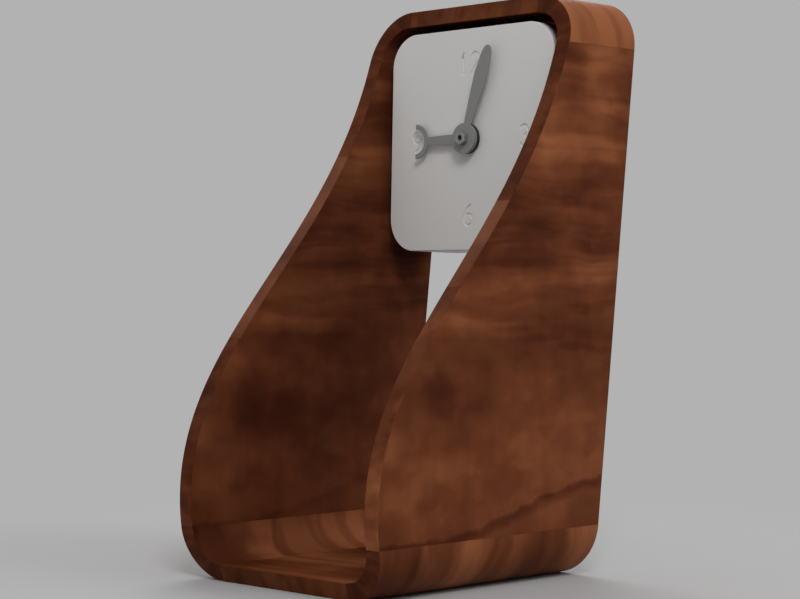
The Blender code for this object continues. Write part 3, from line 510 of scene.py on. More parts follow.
def walnut(name, lift, layers, marks, gloss=0.03, colouring=None):
    """Walnut whose tone is a lift plus layers of stretched grain, soft marks, pores and painted shade on the
    arrises.

    A layer is (weight, across, along, sway, low, high, seed, span), and adds its weight times its
    grain less one half; with a span it fades in from the first height to the second. A mark is
    (weight, across, up, reach across, reach up), its last four in millimetres of the wood's map.
    A colouring turns the tone into the base colour in its own way.
    """
    material, shader = new_finish(name, wood_roughness, specular=gloss)
    place = add_node("UVMap", tree=shader.id_data, uv_map="grain").outputs[0]
    axes = split_axes(place)
    tone = lift
    for weight, across, along, sway, low, high, seed, span in layers:
        grain = use_group(grain_tree, Place=place, Across=across, Along=along, Sway=sway,
                          Low=low, High=high, Seed=seed)["Value"]
        part = maths("SUBTRACT", grain, 0.5)
        if span:
            part = maths("MULTIPLY", part, ranged(axes["Y"], *span))
        tone = maths("MULTIPLY_ADD", part, weight, tone)
    for weight, *spot in marks:
        across, up, reach_across, reach_up = (value * mm for value in spot)
        mask = use_group(spot_tree, Place=place, Centre=(across, up, 0.0),
                         Reach=(reach_across, reach_up, 1.0), Ragged=0.5)["Mask"]
        tone = maths("MULTIPLY_ADD", mask, weight, tone)
    pores = use_group(grain_tree, Place=place, Across=900.0, Along=90.0, Low=0.5, High=0.78,
                      Seed=7.0)["Value"]
    tone = maths("MULTIPLY_ADD", pores, -pore_shade, tone)
    # The arrises are darkened by painted shade, which dims the highlight their rounds catch
    arris = add_node("Attribute", tree=shader.id_data, attribute_name="arris").outputs["Fac"]
    tone = maths("MULTIPLY_ADD", arris, -arris_painted_shade, tone, clamp=True)
    feed(ranged(tone, 0.0, 1.0, wood_roughness + 0.06, wood_roughness - 0.05), shader.inputs["Roughness"])
    bump(shader, maths("SUBTRACT", tone, pores), wood_relief, 0.35)
    colour = colouring(place, axes, tone) if colouring else toned(tone)
    feed(colour, shader.inputs["Base Color"])
    return material


# The panels' climbing line: the depths between which it rises, its heights there, its waver, and the
# distances under it between which its dark fades in and out
line_run = (-45 * mm, 52 * mm)
line_rise = (20.5 * mm, 38.5 * mm)
line_waver = 6 * mm
line_upper_fade = (-0.4 * mm, 1.8 * mm)
line_lower_fade = (6.6 * mm, 2.4 * mm)
# Heights between which a panel's upper and lower layers fade in
upper_half, lower_half = (0.092, 0.112), (0.125, 0.095)
panel_layers = [(0.30, 12.0, 95.0, 0.008, 0.36, 0.64, 1.0, upper_half),
                (-0.10, 16.0, 200.0, 0.006, 0.52, 0.72, 6.0, upper_half),
                (0.16, 42.0, 58.0, 0.012, 0.34, 0.66, 4.0, None),
                (0.06, 120.0, 160.0, 0.010, 0.34, 0.66, 8.5, None),
                (0.03, 170.0, 20.0, 0.004, 0.34, 0.66, 2.5, lower_half)]


def panel_walnut(name, lift, line_weight, marks):
    """The side panels' wood: bands above, soft clouds below, and a thin dark line that climbs.

    The line's height rises eased over its run and wavers with a noise, and the wood darkens in a
    narrow band under it.
    """
    def lined(place, axes, tone):
        waver = noise(place, 90.0, 3.0, 0.6)["Fac"]
        rise = ranged(axes["X"], *line_run, *line_rise)
        below = maths("SUBTRACT", maths("MULTIPLY_ADD", waver, line_waver, rise), axes["Y"])
        line = maths("MULTIPLY", ranged(below, *line_upper_fade), ranged(below, *line_lower_fade))
        return toned(maths("MULTIPLY_ADD", line, -line_weight, tone, clamp=True))

    return walnut(name, lift, panel_layers, marks, colouring=lined)


# The wood's map in metres: where each kind of face lies across it and up it
rim_across = 0.30
end_across = 0.70
inner_up = 0.25
bend_across = {"bottom": 0.20, "top": 1.00}
board_across = {"bottom": 0.25, "top": 0.75}
panel_rim_up = {"left": 0.85, "right": 0.05}
bend_rim_up = 0.45
board_rim_up = {"bottom": 0.70, "top": 0.60}

# The front rims' steep stretch: its place across the map with the heights between which it lies, its
# place up the map, where its paler wood fades in, the map's parts that hold both stretches and the left
# one, the least share of that paler wood on the left, and how much paler and how grey it is
steep_rims = {"left": (1.02, 0.098, 0.175), "right": (0.52, 0.119, 0.1524)}
steep_up = 0.30
steep_fade = (0.262, 0.292)
steep_from, left_from = 0.45, 0.90
left_share = 0.6
steep_lift = 0.23
grey_share = 0.5
steep_grey = (0.165, 0.066, 0.036)


def rim_colour(place, axes, tone):
    """The steep stretch of the front rim is lifted, and blended by a share with a greyer brown."""
    left = maths("MULTIPLY", maths("GREATER_THAN", axes["X"], left_from), left_share)
    fade = maths("MAXIMUM", ranged(axes["Y"], *steep_fade), left)
    steep = maths("MULTIPLY", maths("GREATER_THAN", axes["X"], steep_from), fade)
    paler = maths("MULTIPLY_ADD", steep, steep_lift, tone, clamp=True)
    return mixed(maths("MULTIPLY", steep, grey_share), toned(paler), steep_grey)


wood_panel = panel_walnut("walnut_panel", 0.50, 0.27, [
    (-0.18, -43, 76, 15, 12), (-0.18, -17.5, 74.5, 13.5, 11), (-0.08, -33, 74, 50, 26),
    (-0.20, -10, 144, 90, 24), (-0.16, -24, 130, 15, 18), (0.12, -38, 102, 24, 16),
    (-0.05, 45, 102, 80, 10), (0.34, 31, 187, 52, 24), (0.16, -64.5, 48, 40, 34),
    (0.22, 20, 52, 110, 44), (0.36, 52, 205, 26, 18), (-0.18, 35, 208, 13, 20),
    (0.12, 50, 116, 30, 18), (0.12, 26, 156, 26, 12), (0.14, -12, 142, 18, 12),
    (-0.12, -2, 102.5, 14, 2.8), (-0.12, 18, 99, 13, 2.8), (-0.12, 36, 95, 14, 2.8),
    (-0.10, 52, 93.2, 12, 2.8)])
# The -0.26 mark is a painted shadow of the dial case, just under it on each panel's inner face
wood_panel_inside = panel_walnut("walnut_panel_inside", 0.47, 0.10, [
    (-0.24, -45.5, 69.4, 16, 13), (-0.20, -22.1, 68.5, 15, 12), (-0.10, -30, 68, 50, 26),
    (-0.12, 12, 75, 36, 50), (-0.10, -20, 98, 60, 7), (0.16, -56, 90, 20, 18),
    (-0.14, 0, 138, 110, 34), (0.15, -64, 50, 26, 40), (0.06, 10, 42, 80, 20),
    (-0.22, 10, 224, 110, 20), (0.17, 28, 181, 24, 10), (0.12, 33, 158, 14, 8), (0.12, -4, 133, 22, 9),
    (-0.26, 45, 130, 23, 15), (0.14, -38, 100, 14, 10)])
rim_marks = [
    (0.20, 305, 230.5, 400, 7), (-0.18, 305, 246.5, 400, 8), (0.40, 305, 60, 400, 42),
    (0.12, 305, 118, 400, 36), (-0.08, 305, 215, 400, 70), (-0.14, 305, 905, 400, 50),
    (0.06, 305, 876, 400, 16), (0.04, 305, 1040, 400, 40), (-0.16, 1025, 280, 400, 12),
    (-0.10, 305, 480, 400, 60), (0.06, 305, 637, 400, 60), (0.05, 305, 737, 400, 60)]
# The -0.56 mark is painted shade over the top bends' inner faces
bend_marks = [
    (-0.18, 200, 16.5, 400, 120), (-0.20, 125, 15, 34, 34), (0.26, 176.5, 16.5, 13, 60),
    (0.36, 246, 16.5, 16, 60), (-0.08, 214, 16.5, 12, 60), (0.12, 1055.5, 16.5, 7, 60),
    (-0.08, 1041, 16.5, 5, 60), (-0.08, 1064.5, 16.5, 4, 60), (-0.46, 134, 268, 36, 80),
    (-0.56, 1000, 288, 400, 60), (-0.06, 200, 266.5, 400, 120), (0.13, 1000, 16.5, 400, 120)]
# The -0.50 mark is painted shade over the top board's underside, and the -0.38 and -0.20 marks are painted
# shade on the bottom board's inner face next to its left bend
board_marks = [
    (-0.50, 750, 287, 400, 150), (0.02, 250, 287, 400, 150), (-0.38, 272, 266, 58, 28),
    (-0.20, 185, 254, 34, 18), (0.12, 215, 288, 60, 12)]
wood_rim = walnut("walnut_rim", 0.45, [(0.20, 50.0, 70.0, 0.010, 0.40, 0.60, 9.0, None),
                                       (0.12, 90.0, 160.0, 0.006, 0.38, 0.62, 2.0, None)],
                  rim_marks, colouring=rim_colour)
# Spans up the map that leave a layer on a bend's outer face or on its inner one
outer_faces, inner_faces = (0.20, 0.10), (0.10, 0.20)
wood_bend = walnut("walnut_bend", 0.82, [(0.20, 38.0, 6.0, 0.020, 0.42, 0.58, 3.0, outer_faces),
                                         (0.12, 105.0, 14.0, 0.018, 0.40, 0.60, 8.0, outer_faces),
                                         (0.05, 420.0, 60.0, 0.010, 0.36, 0.64, 5.0, outer_faces),
                                         (0.22, 34.0, 6.0, 0.020, 0.42, 0.58, 3.0, inner_faces),
                                         (-0.24, 70.0, 6.0, 0.014, 0.53, 0.66, 12.0, inner_faces)],
                   bend_marks)
wood_board = walnut("walnut_board", 0.64, [(0.26, 55.0, 5.0, 0.012, 0.40, 0.60, 5.0, None),
                                           (0.10, 240.0, 14.0, 0.008, 0.36, 0.64, 6.0, None)],
                    board_marks, gloss=0.0)


# Other finishes
def even_finish(name, colour, roughness, scale, amount, metallic=0.0, depth=0.02 * mm):
    """A moulded, cast or painted finish: a fine mottle in its tone, its gloss and its skin.

    The colour is multiplied by two mottles, the second twelve times as broad and half as strong.
    """
    material, shader = new_finish(name, roughness, metallic)
    place = object_place(shader)
    skin = use_group(mottle_tree, Place=place, Scale=scale, Amount=amount)
    broad = use_group(mottle_tree, Place=place, Scale=scale / 12.0, Amount=amount / 2.0)
    factor = maths("MULTIPLY", skin["Factor"], broad["Factor"])
    feed(scaled(colour, factor), shader.inputs["Base Color"])
    feed(ranged(skin["Height"], 0.3, 0.7, roughness - 0.05, roughness + 0.05), shader.inputs["Roughness"])
    bump(shader, skin["Height"], depth, 0.5)
    return material


scratch_dark = 0.75
scratch_depth = 0.01 * mm


def brushed_finish(name, colour, roughness, across, along, metallic=1.0):
    """Drawn or brushed metal: scratches along one way that change its tone and its gloss."""
    material, shader = new_finish(name, roughness, metallic)
    lines = use_group(grain_tree, Place=object_place(shader), Across=across, Along=along, Low=0.3,
                      High=0.7, Seed=1.5)["Value"]
    dark = tuple(part * scratch_dark for part in colour)
    feed(mixed(lines, dark, colour), shader.inputs["Base Color"])
    feed(ranged(lines, 0.0, 1.0, roughness + 0.08, roughness - 0.05), shader.inputs["Roughness"])
    bump(shader, lines, scratch_depth, 0.4)
    return material


# Depths behind the face, and heights over the underside, between which painted shade on the case's sides
# changes, standing for the shade in the gap round the case
gap_shade_from, gap_shade_whole = 0.4 * mm, 6.5 * mm
rim_from, rim_whole = 27.2 * mm, 27.7 * mm
underside_whole, underside_end = 0.2 * mm, 4 * mm
case_gap_shade = (0.014, 0.012, 0.011)


def case_finish():
    """White paint on the case's face, underside and back rim; its other sides carry painted shade behind the
    face.
    """
    material = even_finish("dial_paint", (0.785, 0.773, 0.755), 0.55, 900.0, 0.03, depth=0.01 * mm)
    base = material.node_tree.nodes["Principled BSDF"].inputs["Base Color"]
    place = object_place(base)

    def along(axis, start):
        """Distance of the place along an axis of the dial's frame, counted from the start."""
        way = in_clock(axis) - dial_place
        return maths("SUBTRACT", vector_maths("DOT_PRODUCT", place, tuple(way)),
                     float(dial_place @ way) + start)

    depth = along((0.0, 1.0, 0.0), 0.0)
    height = along((0.0, 0.0, 1.0), -case_size / 2.0)
    # Painted shade in the gap: the sides darken from just behind the face to the back rim, but not on the
    # underside
    side = maths("MULTIPLY", ranged(depth, gap_shade_from, gap_shade_whole), ranged(depth, rim_whole, rim_from))
    side = maths("MULTIPLY", side, ranged(height, underside_whole, underside_end))
    feed(mixed(side, base.links[0].from_socket, case_gap_shade), base)
    return material


def copper_finish():
    """Copper wire laid turn by turn: bands across the coil's length give the wires their rounds, with
    painted shade between turns and painted highlight on their crowns.
    """
    material, shader = new_finish("coil_wire", 0.32, 1.0)
    values = {"Vector": object_place(shader), "Scale": 1100.0, "Distortion": 0.3}
    wave = add_node("TexWave", values).outputs["Fac"]
    # Painted shade and highlight: darker copper between the turns, bright copper on their crowns
    feed(mixed(wave, (0.30, 0.10, 0.035), (0.80, 0.36, 0.16)), shader.inputs["Base Color"])
    bump(shader, wave, 0.06 * mm)
    return material


def board_finish():
    """Green lacquer on a circuit board, with paler tracks under it."""
    material, shader = new_finish("board_lacquer", 0.38)
    cells = add_node("TexVoronoi", {"Vector": object_place(shader), "Scale": 420.0},
                     distance="CHEBYCHEV", feature="F1").outputs["Distance"]
    tracks = ranged(cells, 0.30, 0.38)
    feed(mixed(tracks, (0.055, 0.21, 0.09), (0.02, 0.11, 0.045)), shader.inputs["Base Color"])
    bump(shader, tracks, 0.03 * mm, 0.6)
    return material


# Places along the cell where its copper-coloured band starts and where its sleeve ends
cell_band = 12.5 * mm
cell_sleeve_end = 23.2 * mm


def cell_finish():
    """A plain dry cell: a green sleeve, a copper-coloured band and bare metal at both ends."""
    material, shader = new_finish("cell_sleeve", 0.3)
    place = object_place(shader)
    along = split_axes(place)["X"]
    band = maths("GREATER_THAN", along, cell_band)
    ends = maths("GREATER_THAN", maths("ABSOLUTE", along), cell_sleeve_end)
    skin = use_group(mottle_tree, Place=place, Scale=300.0, Amount=0.12)
    sleeve = mixed(band, (0.035, 0.13, 0.075), (0.50, 0.26, 0.11))
    colour = mixed(ends, sleeve, (0.55, 0.55, 0.55))
    feed(scaled(colour, skin["Factor"]), shader.inputs["Base Color"])
    feed(maths("MAXIMUM", ends, maths("MULTIPLY", band, 0.6)), shader.inputs["Metallic"])
    bump(shader, skin["Height"], 0.01 * mm, 0.5)
    return material


# Colour, roughness, the mottle's scale and amount, and where they differ its metallic and its depth
even_finishes = {
    "cover_paint": ((0.70, 0.694, 0.684), 0.5, 700.0, 0.05),
    "hand_paint": ((0.258, 0.258, 0.249), 0.42, 1500.0, 0.06),
    "nut_black": ((0.006, 0.006, 0.006), 0.5, 1200.0, 0.12),
    "shell_plastic": ((0.022, 0.022, 0.024), 0.5, 1400.0, 0.3, 0.0, 0.05 * mm),
    "gear_plastic": ((0.62, 0.61, 0.57), 0.42, 600.0, 0.08),
    "knob_plastic": ((0.03, 0.03, 0.03), 0.42, 1200.0, 0.25),
    "magnet_sinter": ((0.10, 0.10, 0.11), 0.42, 2500.0, 0.4, 0.4),
    "rubber_skin": ((0.022, 0.022, 0.022), 0.8, 1800.0, 0.3),
    "chip_resin": ((0.015, 0.015, 0.015), 0.3, 900.0, 0.3),
}
# Colour, roughness, the scratches' scale across and along, and where it differs its metallic
brushed_finishes = {
    "nut_metal": ((0.42, 0.43, 0.42), 0.38, 900.0, 200.0, 0.7),
    "arbor_black": ((0.02, 0.02, 0.02), 0.45, 900.0, 300.0, 0.6),
    "brass_turned": ((0.72, 0.50, 0.20), 0.28, 900.0, 300.0),
    "steel_plated": ((0.56, 0.56, 0.57), 0.3, 700.0, 150.0),
    "tongue_birch": ((0.60, 0.44, 0.26), 0.6, 500.0, 60.0, 0.0),
}
finishes = {name: even_finish(name, *values) for name, values in even_finishes.items()}
finishes |= {name: brushed_finish(name, *values) for name, values in brushed_finishes.items()}
finishes |= {material.name: material
             for material in (case_finish(), copper_finish(), board_finish(), cell_finish())}


# Wooden loop
def section_rows():
    """Section of the wood as rows (depth through the wall, front or back, inset, share of painted shade on
    the arris).

    The rows run down the outer face, over the back edge, up the inner face and over the front edge.
    The second half is the first one turned about: wall less depth, and back for front.
    """
    inset, depth = edge_round(wood_edge)
    support = wood_edge + edge_support
    # Each row's share of the painted shade on the arrises
    arris_dimming = (0.5, 1.0, 1.0, 0.5)
    quarter = np.stack([depth, np.ones(4), inset, arris_dimming], axis=-1)
    across = quarter[::-1] * (-1.0, 1.0, 1.0, 1.0) + (wall, 0.0, 0.0, 0.0)
    half = np.concatenate([[(0.0, 0.0, support, 0.0), (0.0, 1.0, support, 0.0)], quarter,
                           [(support, 1.0, 0.0, 0.0), (wall - support, 1.0, 0.0, 0.0)], across])
    return np.concatenate([half, half * (-1.0, -1.0, 1.0, 1.0) + (wall, 1.0, 0.0, 0.0)])


section = section_rows()


def stations(length, count):
    """Distances along a piece: the ends' small chamfers first, then even steps between them."""
    ends = np.array([joint_play, joint_play + joint_edge, joint_play + joint_edge + edge_support])
    return np.concatenate([ends, np.linspace(ends[-1], length - ends[-1], count)[1:-1], length - ends[::-1]])


def wooden_piece(name, along, core, out, materials, face_at, rim_up, inner_shift=0.0, steep=None):
    """Wood carried along a path in the (x, z) plane, with its place in the wood's map.

    A row of the section lies at core + (corner radius - depth) * out, and reaches from the front
    curve to the back line at its own height, drawn in by the row's inset. The first and last sections
    shrink by the chamfer. On the map, wide faces lie at (y, distance along) from face_at, the inner
    one further up by its shift, and rims at (depth, distance along). The ends and a steep stretch
    (place across, from height, to height) of the front rim lie at (depth, y).
    """
    s = along[:, None]
    t, back, inset, arris = (column[None, :] for column in section.T)
    shrink = np.zeros_like(s)
    shrink[[0, -1]] = joint_edge
    through = shrink + t * (wall - 2.0 * shrink) / wall
    core, out = (np.broadcast_to(np.stack(np.broadcast_arrays(*way), axis=-1), (len(along), 2))
                 for way in (core, out))
    x, z = np.moveaxis(core[:, None] + (corner_radius - through)[..., None] * out[:, None], -1, 0)
    y = np.where(back > 0.5, back_y(z) - inset - shrink, front_y(z) + front_play + inset + shrink)
    rows, columns = y.shape
    obj = new_object(name, np.stack([x, y, z], axis=-1), ring_faces(rows, columns), materials)

    def charted(across, up):
        """Every point's place on the map, as rows."""
        return np.stack(np.broadcast_arrays(across, up), axis=-1).reshape(-1, 2)

    quads = ring_quads(rows, columns)
    inner = columns // 2
    column_of = np.tile(np.arange(columns), rows - 1)
    on_face = np.isin(column_of, (0, inner))
    wide = charted(y + face_at[0], s + face_at[1])[quads]
    wide[column_of == inner] += (0.0, inner_shift)
    uv = np.where(on_face[:, None, None], wide, charted(t + rim_across, s + rim_up)[quads])
    if steep:
        across, low, high = steep
        height = (along + corner_radius)[:-1]
        chosen = np.repeat((height > low) & (height < high), columns) & (column_of > inner)
        uv = np.where(chosen[:, None, None], charted(t + across, y + steep_up)[quads], uv)
    ends = charted(t + end_across, y).reshape(rows, columns, 2)[[0, -1]]
    loops = np.concatenate([uv.reshape(-1, 2), ends.reshape(-1, 2)])
    obj.data.uv_layers.new(name="grain").data.foreach_set("uv", loops.ravel())

    # The first material is the outer face's, the second the rims', and a third the inner face's
    inner_slot = 2 if len(materials) > 2 else 0
    slots = np.concatenate([np.select([column_of == 0, on_face], [0, inner_slot], 1), [1, 1]])
    obj.data.polygons.foreach_set("material_index", slots.astype(np.int32))
    # Each point's share of the painted shade on the arrises
    arris_mask = obj.data.attributes.new("arris", "FLOAT", "POINT")
    arris_mask.data.foreach_set("value", np.broadcast_to(arris, y.shape).ravel().astype(np.float32))
    settle(obj)
    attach(obj, "stand")
    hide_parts(name.removeprefix("walnut_"))


straight_x = loop_width / 2.0 - corner_radius
panel_sections, bend_sections, board_sections = 140, 48, 60
up_panel = stations(loop_height - 2.0 * corner_radius, panel_sections)
round_bend = stations(corner_radius * math.pi / 2.0, bend_sections)
over_board = stations(2.0 * straight_x, board_sections)
turn = round_bend / corner_radius
ends = (("bottom", -1.0, corner_radius), ("top", 1.0, loop_height - corner_radius))
for side, sign in (("left", -1.0), ("right", 1.0)):
    edge_x = sign * straight_x
    wooden_piece(f"walnut_side_panel_{side}", up_panel, (edge_x, corner_radius + up_panel), (sign, 0.0),
                 [wood_panel, wood_rim, wood_panel_inside], (0.0, corner_radius), panel_rim_up[side],
                 steep=steep_rims[side])
    for end, rise, middle in ends:
        wooden_piece(f"walnut_corner_{end}_{side}", round_bend, (edge_x, middle),
                     (sign * np.cos(turn), rise * np.sin(turn)), [wood_bend, wood_rim],
                     (bend_across[end], 0.0), bend_rim_up, inner_up)
for end, rise, middle in ends:
    wooden_piece(f"walnut_{end}_board", over_board, (over_board - straight_x, middle), (0.0, rise),
                 [wood_board, wood_rim], (board_across[end], 0.0), board_rim_up[end], inner_up)


# Dial case
def stroke(path):
    """The two sides of a numeral's stroke: its path moved half the stroke's width to either side."""
    run = np.gradient(path, axis=0)
    run = run / np.linalg.norm(run, axis=1, keepdims=True)
    side = np.stack([-run[:, 1], run[:, 0]], axis=-1) * numeral_stroke / 2.0
    return path + side, path - side


def numeral_cutter():
    """One tool with every stroke of 12, 3, 6 and 9: straight runs, arcs and closed bowls.

    The tail of the 6 is a quarter of an ellipse, less a few degrees, and the 9 is a 6 turned about.
    """
    top = (numeral_height - numeral_stroke) / 2.0
    bowl = (numeral_bowl - numeral_stroke) / 2.0
    half = (numeral_width - numeral_stroke) / 2.0
    flat = numeral_stroke / 2.0
    upper = top * three_upper_share
    lower = top - upper
    sweep = np.linspace(0.0, six_sweep, 20)
    tail = np.stack([bowl - 2.0 * bowl * np.cos(sweep),
                     bowl - top + (2.0 * top - bowl) * np.sin(sweep)], axis=-1)
    hook = arc(half, *two_hook, 28, (0.0, top - half))
    run = np.linspace(0.0, 1.0, 6)[1:, None]
    slant = hook[-1] + run * (np.array([-half, -top]) - hook[-1])
    strokes = {
        "one": [[(0.0, -top - flat), (0.0, top + flat)],
                [(0.0, top - flat), (-one_flag, top - flat - one_flag)],
                [(-one_base / 2.0, -top), (one_base / 2.0, -top)]],
        "two": [np.concatenate([hook, slant]), [(-half - flat, -top), (half + flat, -top)]],
        "three": [arc(upper, three_end, -math.pi / 2.0, 24, (0.0, top - upper)),
                  arc(lower, math.pi / 2.0, -three_end, 24, (0.0, lower - top))],
        "six": [tail],
    }
    places = [("one", 1.0, (-one_offset, numeral_reach_z)), ("two", 1.0, (two_offset, numeral_reach_z)),
              ("three", 1.0, (numeral_reach_x, 0.0)), ("six", 1.0, (0.0, -numeral_reach_z)),
              ("six", -1.0, (-numeral_reach_x, 0.0))]
    points, faces = [], []

    def add(rings, closed):
        """Adds a body through rings to the one tool."""
        rings = np.asarray(rings)
        faces.extend(ring_faces(*rings.shape[:2], closed, sum(len(block) for block in points)))
        points.append(rings.reshape(-1, 3))

    for digit, facing, spot in places:
        for path in strokes[digit]:
            left, right = stroke(np.array(spot) + facing * np.array(path))
            outline = np.concatenate([left, right[::-1]])
            add([at_depth(outline, -overrun), at_depth(outline, numeral_depth)], False)
        if digit == "six":
            centre = np.array(spot) + facing * np.array([0.0, bowl - top])
            inner, outer = (circle(bowl + move, 48, centre) for move in (-flat, flat))
            add([at_depth(inner, -overrun), at_depth(outer, -overrun), at_depth(outer, numeral_depth),
                 at_depth(inner, numeral_depth)], True)
    return settle(new_object("numeral_cutter", in_clock(np.concatenate(points)), faces, []))


screw_reach = case_size / 2.0 - cover_screw_inset
screw_spots = [(sx * screw_reach, sz * screw_reach) for sx in (-1.0, 1.0) for sz in (-1.0, 1.0)]


def screw_bores(start, end):
    """Four cutting prisms with the cover screws' clearance, from one depth to the other."""
    return [prism("screw_bore", circle(cover_screw_radius + seat_gap, bore_steps, spot), start, end)
            for spot in screw_spots]


def dial_case():
    """The white case: a square block with round corners, hollowed from the back, with its face engraved."""
    outline = rounded_square(case_size, case_corner, square_steps)
    case = loft("dial_block", plate_rings(outline, 0.0, case_depth, case_edge, 4), finishes["dial_paint"])
    cavity = rounded_square(case_size - 2.0 * case_wall, cavity_corner, square_steps)
    rebate = rounded_square(case_size - 2.0 * rim_width, case_corner - rim_width, square_steps)
    tools = [prism("cavity", cavity, dial_thickness, rebate_floor + overrun),
             prism("rebate", rebate, rebate_floor, case_depth + overrun),
             prism("hub_hole", circle(hub_hole, 48), -overrun, dial_thickness + overrun)]
    tools += screw_bores(case_depth - cover_screw_length - overrun, rebate_floor + overrun)
    reach = case_wall + overrun
    bore = turned_rings([(side_screw_radius + seat_gap, end) for end in (-reach, reach)], bore_steps)
    side_x = (case_size - case_wall) / 2.0
    tools += [loft("side_bore", along_x(bore, (x, side_screw_depth, z)), None)
              for x in (-side_x, side_x) for z in (-side_screw_rise, side_screw_rise)]
    carve(case, tools)
    carve(case, [numeral_cutter()], crossing=True)
    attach(case, "stand")
    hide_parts("dial_case")


def rear_cover():
    """The cover behind the case, with round edges, a square window and four screw holes."""
    size = case_size - 2.0 * (rim_width + seat_gap)
    outer = rounded_square(size, case_corner - rim_width - seat_gap, 20)
    inner = rounded_square(window_size, window_corner, 20)
    front = case_depth - cover_thickness
    cover = loft("cover_plate", collar_rings(outer, inner, front, case_depth, cover_edge),
                 finishes["cover_paint"], closed=True)
    carve(cover, screw_bores(front - overrun, case_depth + overrun))
    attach(cover, "stand")
    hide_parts("rear_cover")


def cover_screws():
    """Four slotted screws: a pointed shank and a domed head, turned about the screw's axis.

    In parts of the head's own, the dome's radius is 0.72 + 0.28 cos a, its height is 0.45 + 0.55 sin a,
    and the flat crown's radius is 0.36. The shank's point has a quarter of its radius.
    """
    seat = case_depth + seat_gap
    a = np.linspace(0.0, math.pi / 2.0, 7)
    dome = np.stack([cover_head_radius * (0.72 + 0.28 * np.cos(a)),
                     seat + cover_head_height * (0.45 + 0.55 * np.sin(a))], axis=-1)
    top = seat + cover_head_height
    crown = [(cover_head_radius * 0.36, top)]
    shank = [(cover_screw_radius * 0.25, seat - cover_screw_length),
             (cover_screw_radius, seat - cover_screw_length + cover_screw_radius),
             (cover_screw_radius, seat), (cover_head_radius, seat)]
    slot = np.array([(1, 1), (-1, 1), (-1, -1), (1, -1)]) * (cover_head_radius + overrun, screw_slot_half)
    for number, spot in enumerate(screw_spots, start=1):
        screw = loft(f"slotted_screw_{number}", turned_rings([*shank, *dome.tolist(), *crown], 40, spot),
                     finishes["steel_plated"])
        corners = turned_from_twelve(slot, screw_turn * number) + np.array(spot)
        carve(screw, [prism("screw_slot", corners, top - screw_slot_depth, top + overrun)])
        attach(screw, "stand")
        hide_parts(f"cover_screw_{number}")


# Hands and nuts
def minute_outline():
    """The minute hand along twelve: a disc, a blade that swells by a power of its length, a blunt tip.

    The tip narrows evenly by its taper and closes by the root of one less a power of its share.
    """
    root = math.sqrt(minute_disc ** 2 - (minute_root / 2.0) ** 2)
    widest = minute_reach * minute_widest_share
    share = np.linspace(0.0, 1.0, 24)
    half = minute_root / 2.0 + (minute_blade - minute_root) / 2.0 * (1.0 - (1.0 - share) ** minute_swell)
    blade = np.stack([half, root + (widest - root) * share], axis=-1)
    rise = np.sin(np.linspace(0.0, math.pi / 2.0, 26)[1:])
    close = (1.0 - minute_tip_taper * rise) * np.sqrt(1.0 - rise ** minute_tip_power)
    tip = np.stack([minute_blade / 2.0 * close, widest + (minute_reach - widest) * rise], axis=-1)
    tip[-1, 0] = 0.0
    right = np.concatenate([blade, tip])
    edge = math.asin(minute_root / 2.0 / minute_disc)
    disc = arc(minute_disc, math.pi / 2.0 + edge, 2.5 * math.pi - edge, 64)
    return np.concatenate([right, right[-2::-1] * np.array([-1.0, 1.0]), disc[1:-1]])


def hour_outline():
    """The hour hand along twelve: a disc, a tapered arm and a half ring open at its end."""
    centre = (0.0, hour_ring_reach)
    join = math.asin(hour_arm_end / 2.0 / hour_ring_radius)
    edge = math.asin(hour_arm_root / 2.0 / hour_disc)
    return np.concatenate([
        arc(hour_ring_radius, -math.pi / 2.0 + join, 0.0, 20, centre),
        arc(hour_ring_radius - hour_ring_band, 0.0, -math.pi, 36, centre),
        arc(hour_ring_radius, -math.pi, -math.pi / 2.0 - join, 20, centre),
        arc(hour_disc, math.pi / 2.0 + edge, 2.5 * math.pi - edge, 64)])


def add_hand(name, outline, angle, front, back, bore, body, node):
    """A hand: its outline turned to its hour, given round edges and a bore."""
    hand = loft(name, plate_rings(turned_from_twelve(outline, angle), front, back, hand_edge, 2),
                finishes["hand_paint"])
    carve(hand, [prism("hand_bore", circle(bore, 32), front - overrun, back + overrun)])
    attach(hand, body)
    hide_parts(node)


def add_nuts():
    """The hexagonal nut of the hands, with its corners cut back, and the movement's round nut."""
    corners = turned_from_twelve(circle(nut_radius, 6), math.pi / 2.0)
    share = np.linspace(0.0, 1.0, 8, endpoint=False)[None, :, None]
    sides = corners[:, None] * (1.0 - share) + np.roll(corners, -1, axis=0)[:, None] * share
    sides = sides.reshape(-1, 2)
    reach = np.linalg.norm(sides, axis=1, keepdims=True)
    hexagon = sides * np.minimum(1.0, nut_radius * nut_corner_share / reach)
    nut = loft("hand_nut", collar_rings(hexagon, nut_bore * sides / reach, nut_front, nut_back, nut_edge),
               finishes["nut_metal"], closed=True)
    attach(nut, "minute")
    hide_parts("minute_nut")
    ring = loft("movement_nut", collar_rings(circle(fixing_radius, 96), circle(fixing_bore + seat_gap, 96),
                                             fixing_front, fixing_back, fixing_edge),
                finishes["nut_black"], closed=True)
    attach(ring, "stand")
    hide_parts("fixing_nut")


def battery():
    """A dry cell turned about x: a can with crimped shoulders, a button at one end and a dished base."""
    profile = [(2.0, -24.9), (4.6, -24.9), (5.2, -25.25), (6.2, -25.25), (6.9, -24.9), (7.25, -24.3),
               (7.25, 22.6), (7.05, 23.3), (6.5, 23.75), (5.6, 23.85), (5.0, 23.5), (3.2, 23.5),
               (2.75, 23.8), (2.75, 24.9), (2.45, 25.25), (1.2, 25.25)]
    rings = turned_rings([(r * mm, d * mm) for r, d in profile], 64)
    cell = loft("dry_cell", along_x(rings, (0.0, battery_y, battery_z)), finishes["cell_sleeve"])
    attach(cell, "battery")
    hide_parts("battery")


dial_case()
rear_cover()
cover_screws()
add_hand("hour_pointer", hour_outline(), hour_angle, hour_front, hour_back, hour_bore, "hour", "hour_hand")
add_hand("minute_pointer", minute_outline(), minute_angle, minute_front, minute_back, minute_bore,
         "minute", "minute_hand")
add_nuts()
battery()

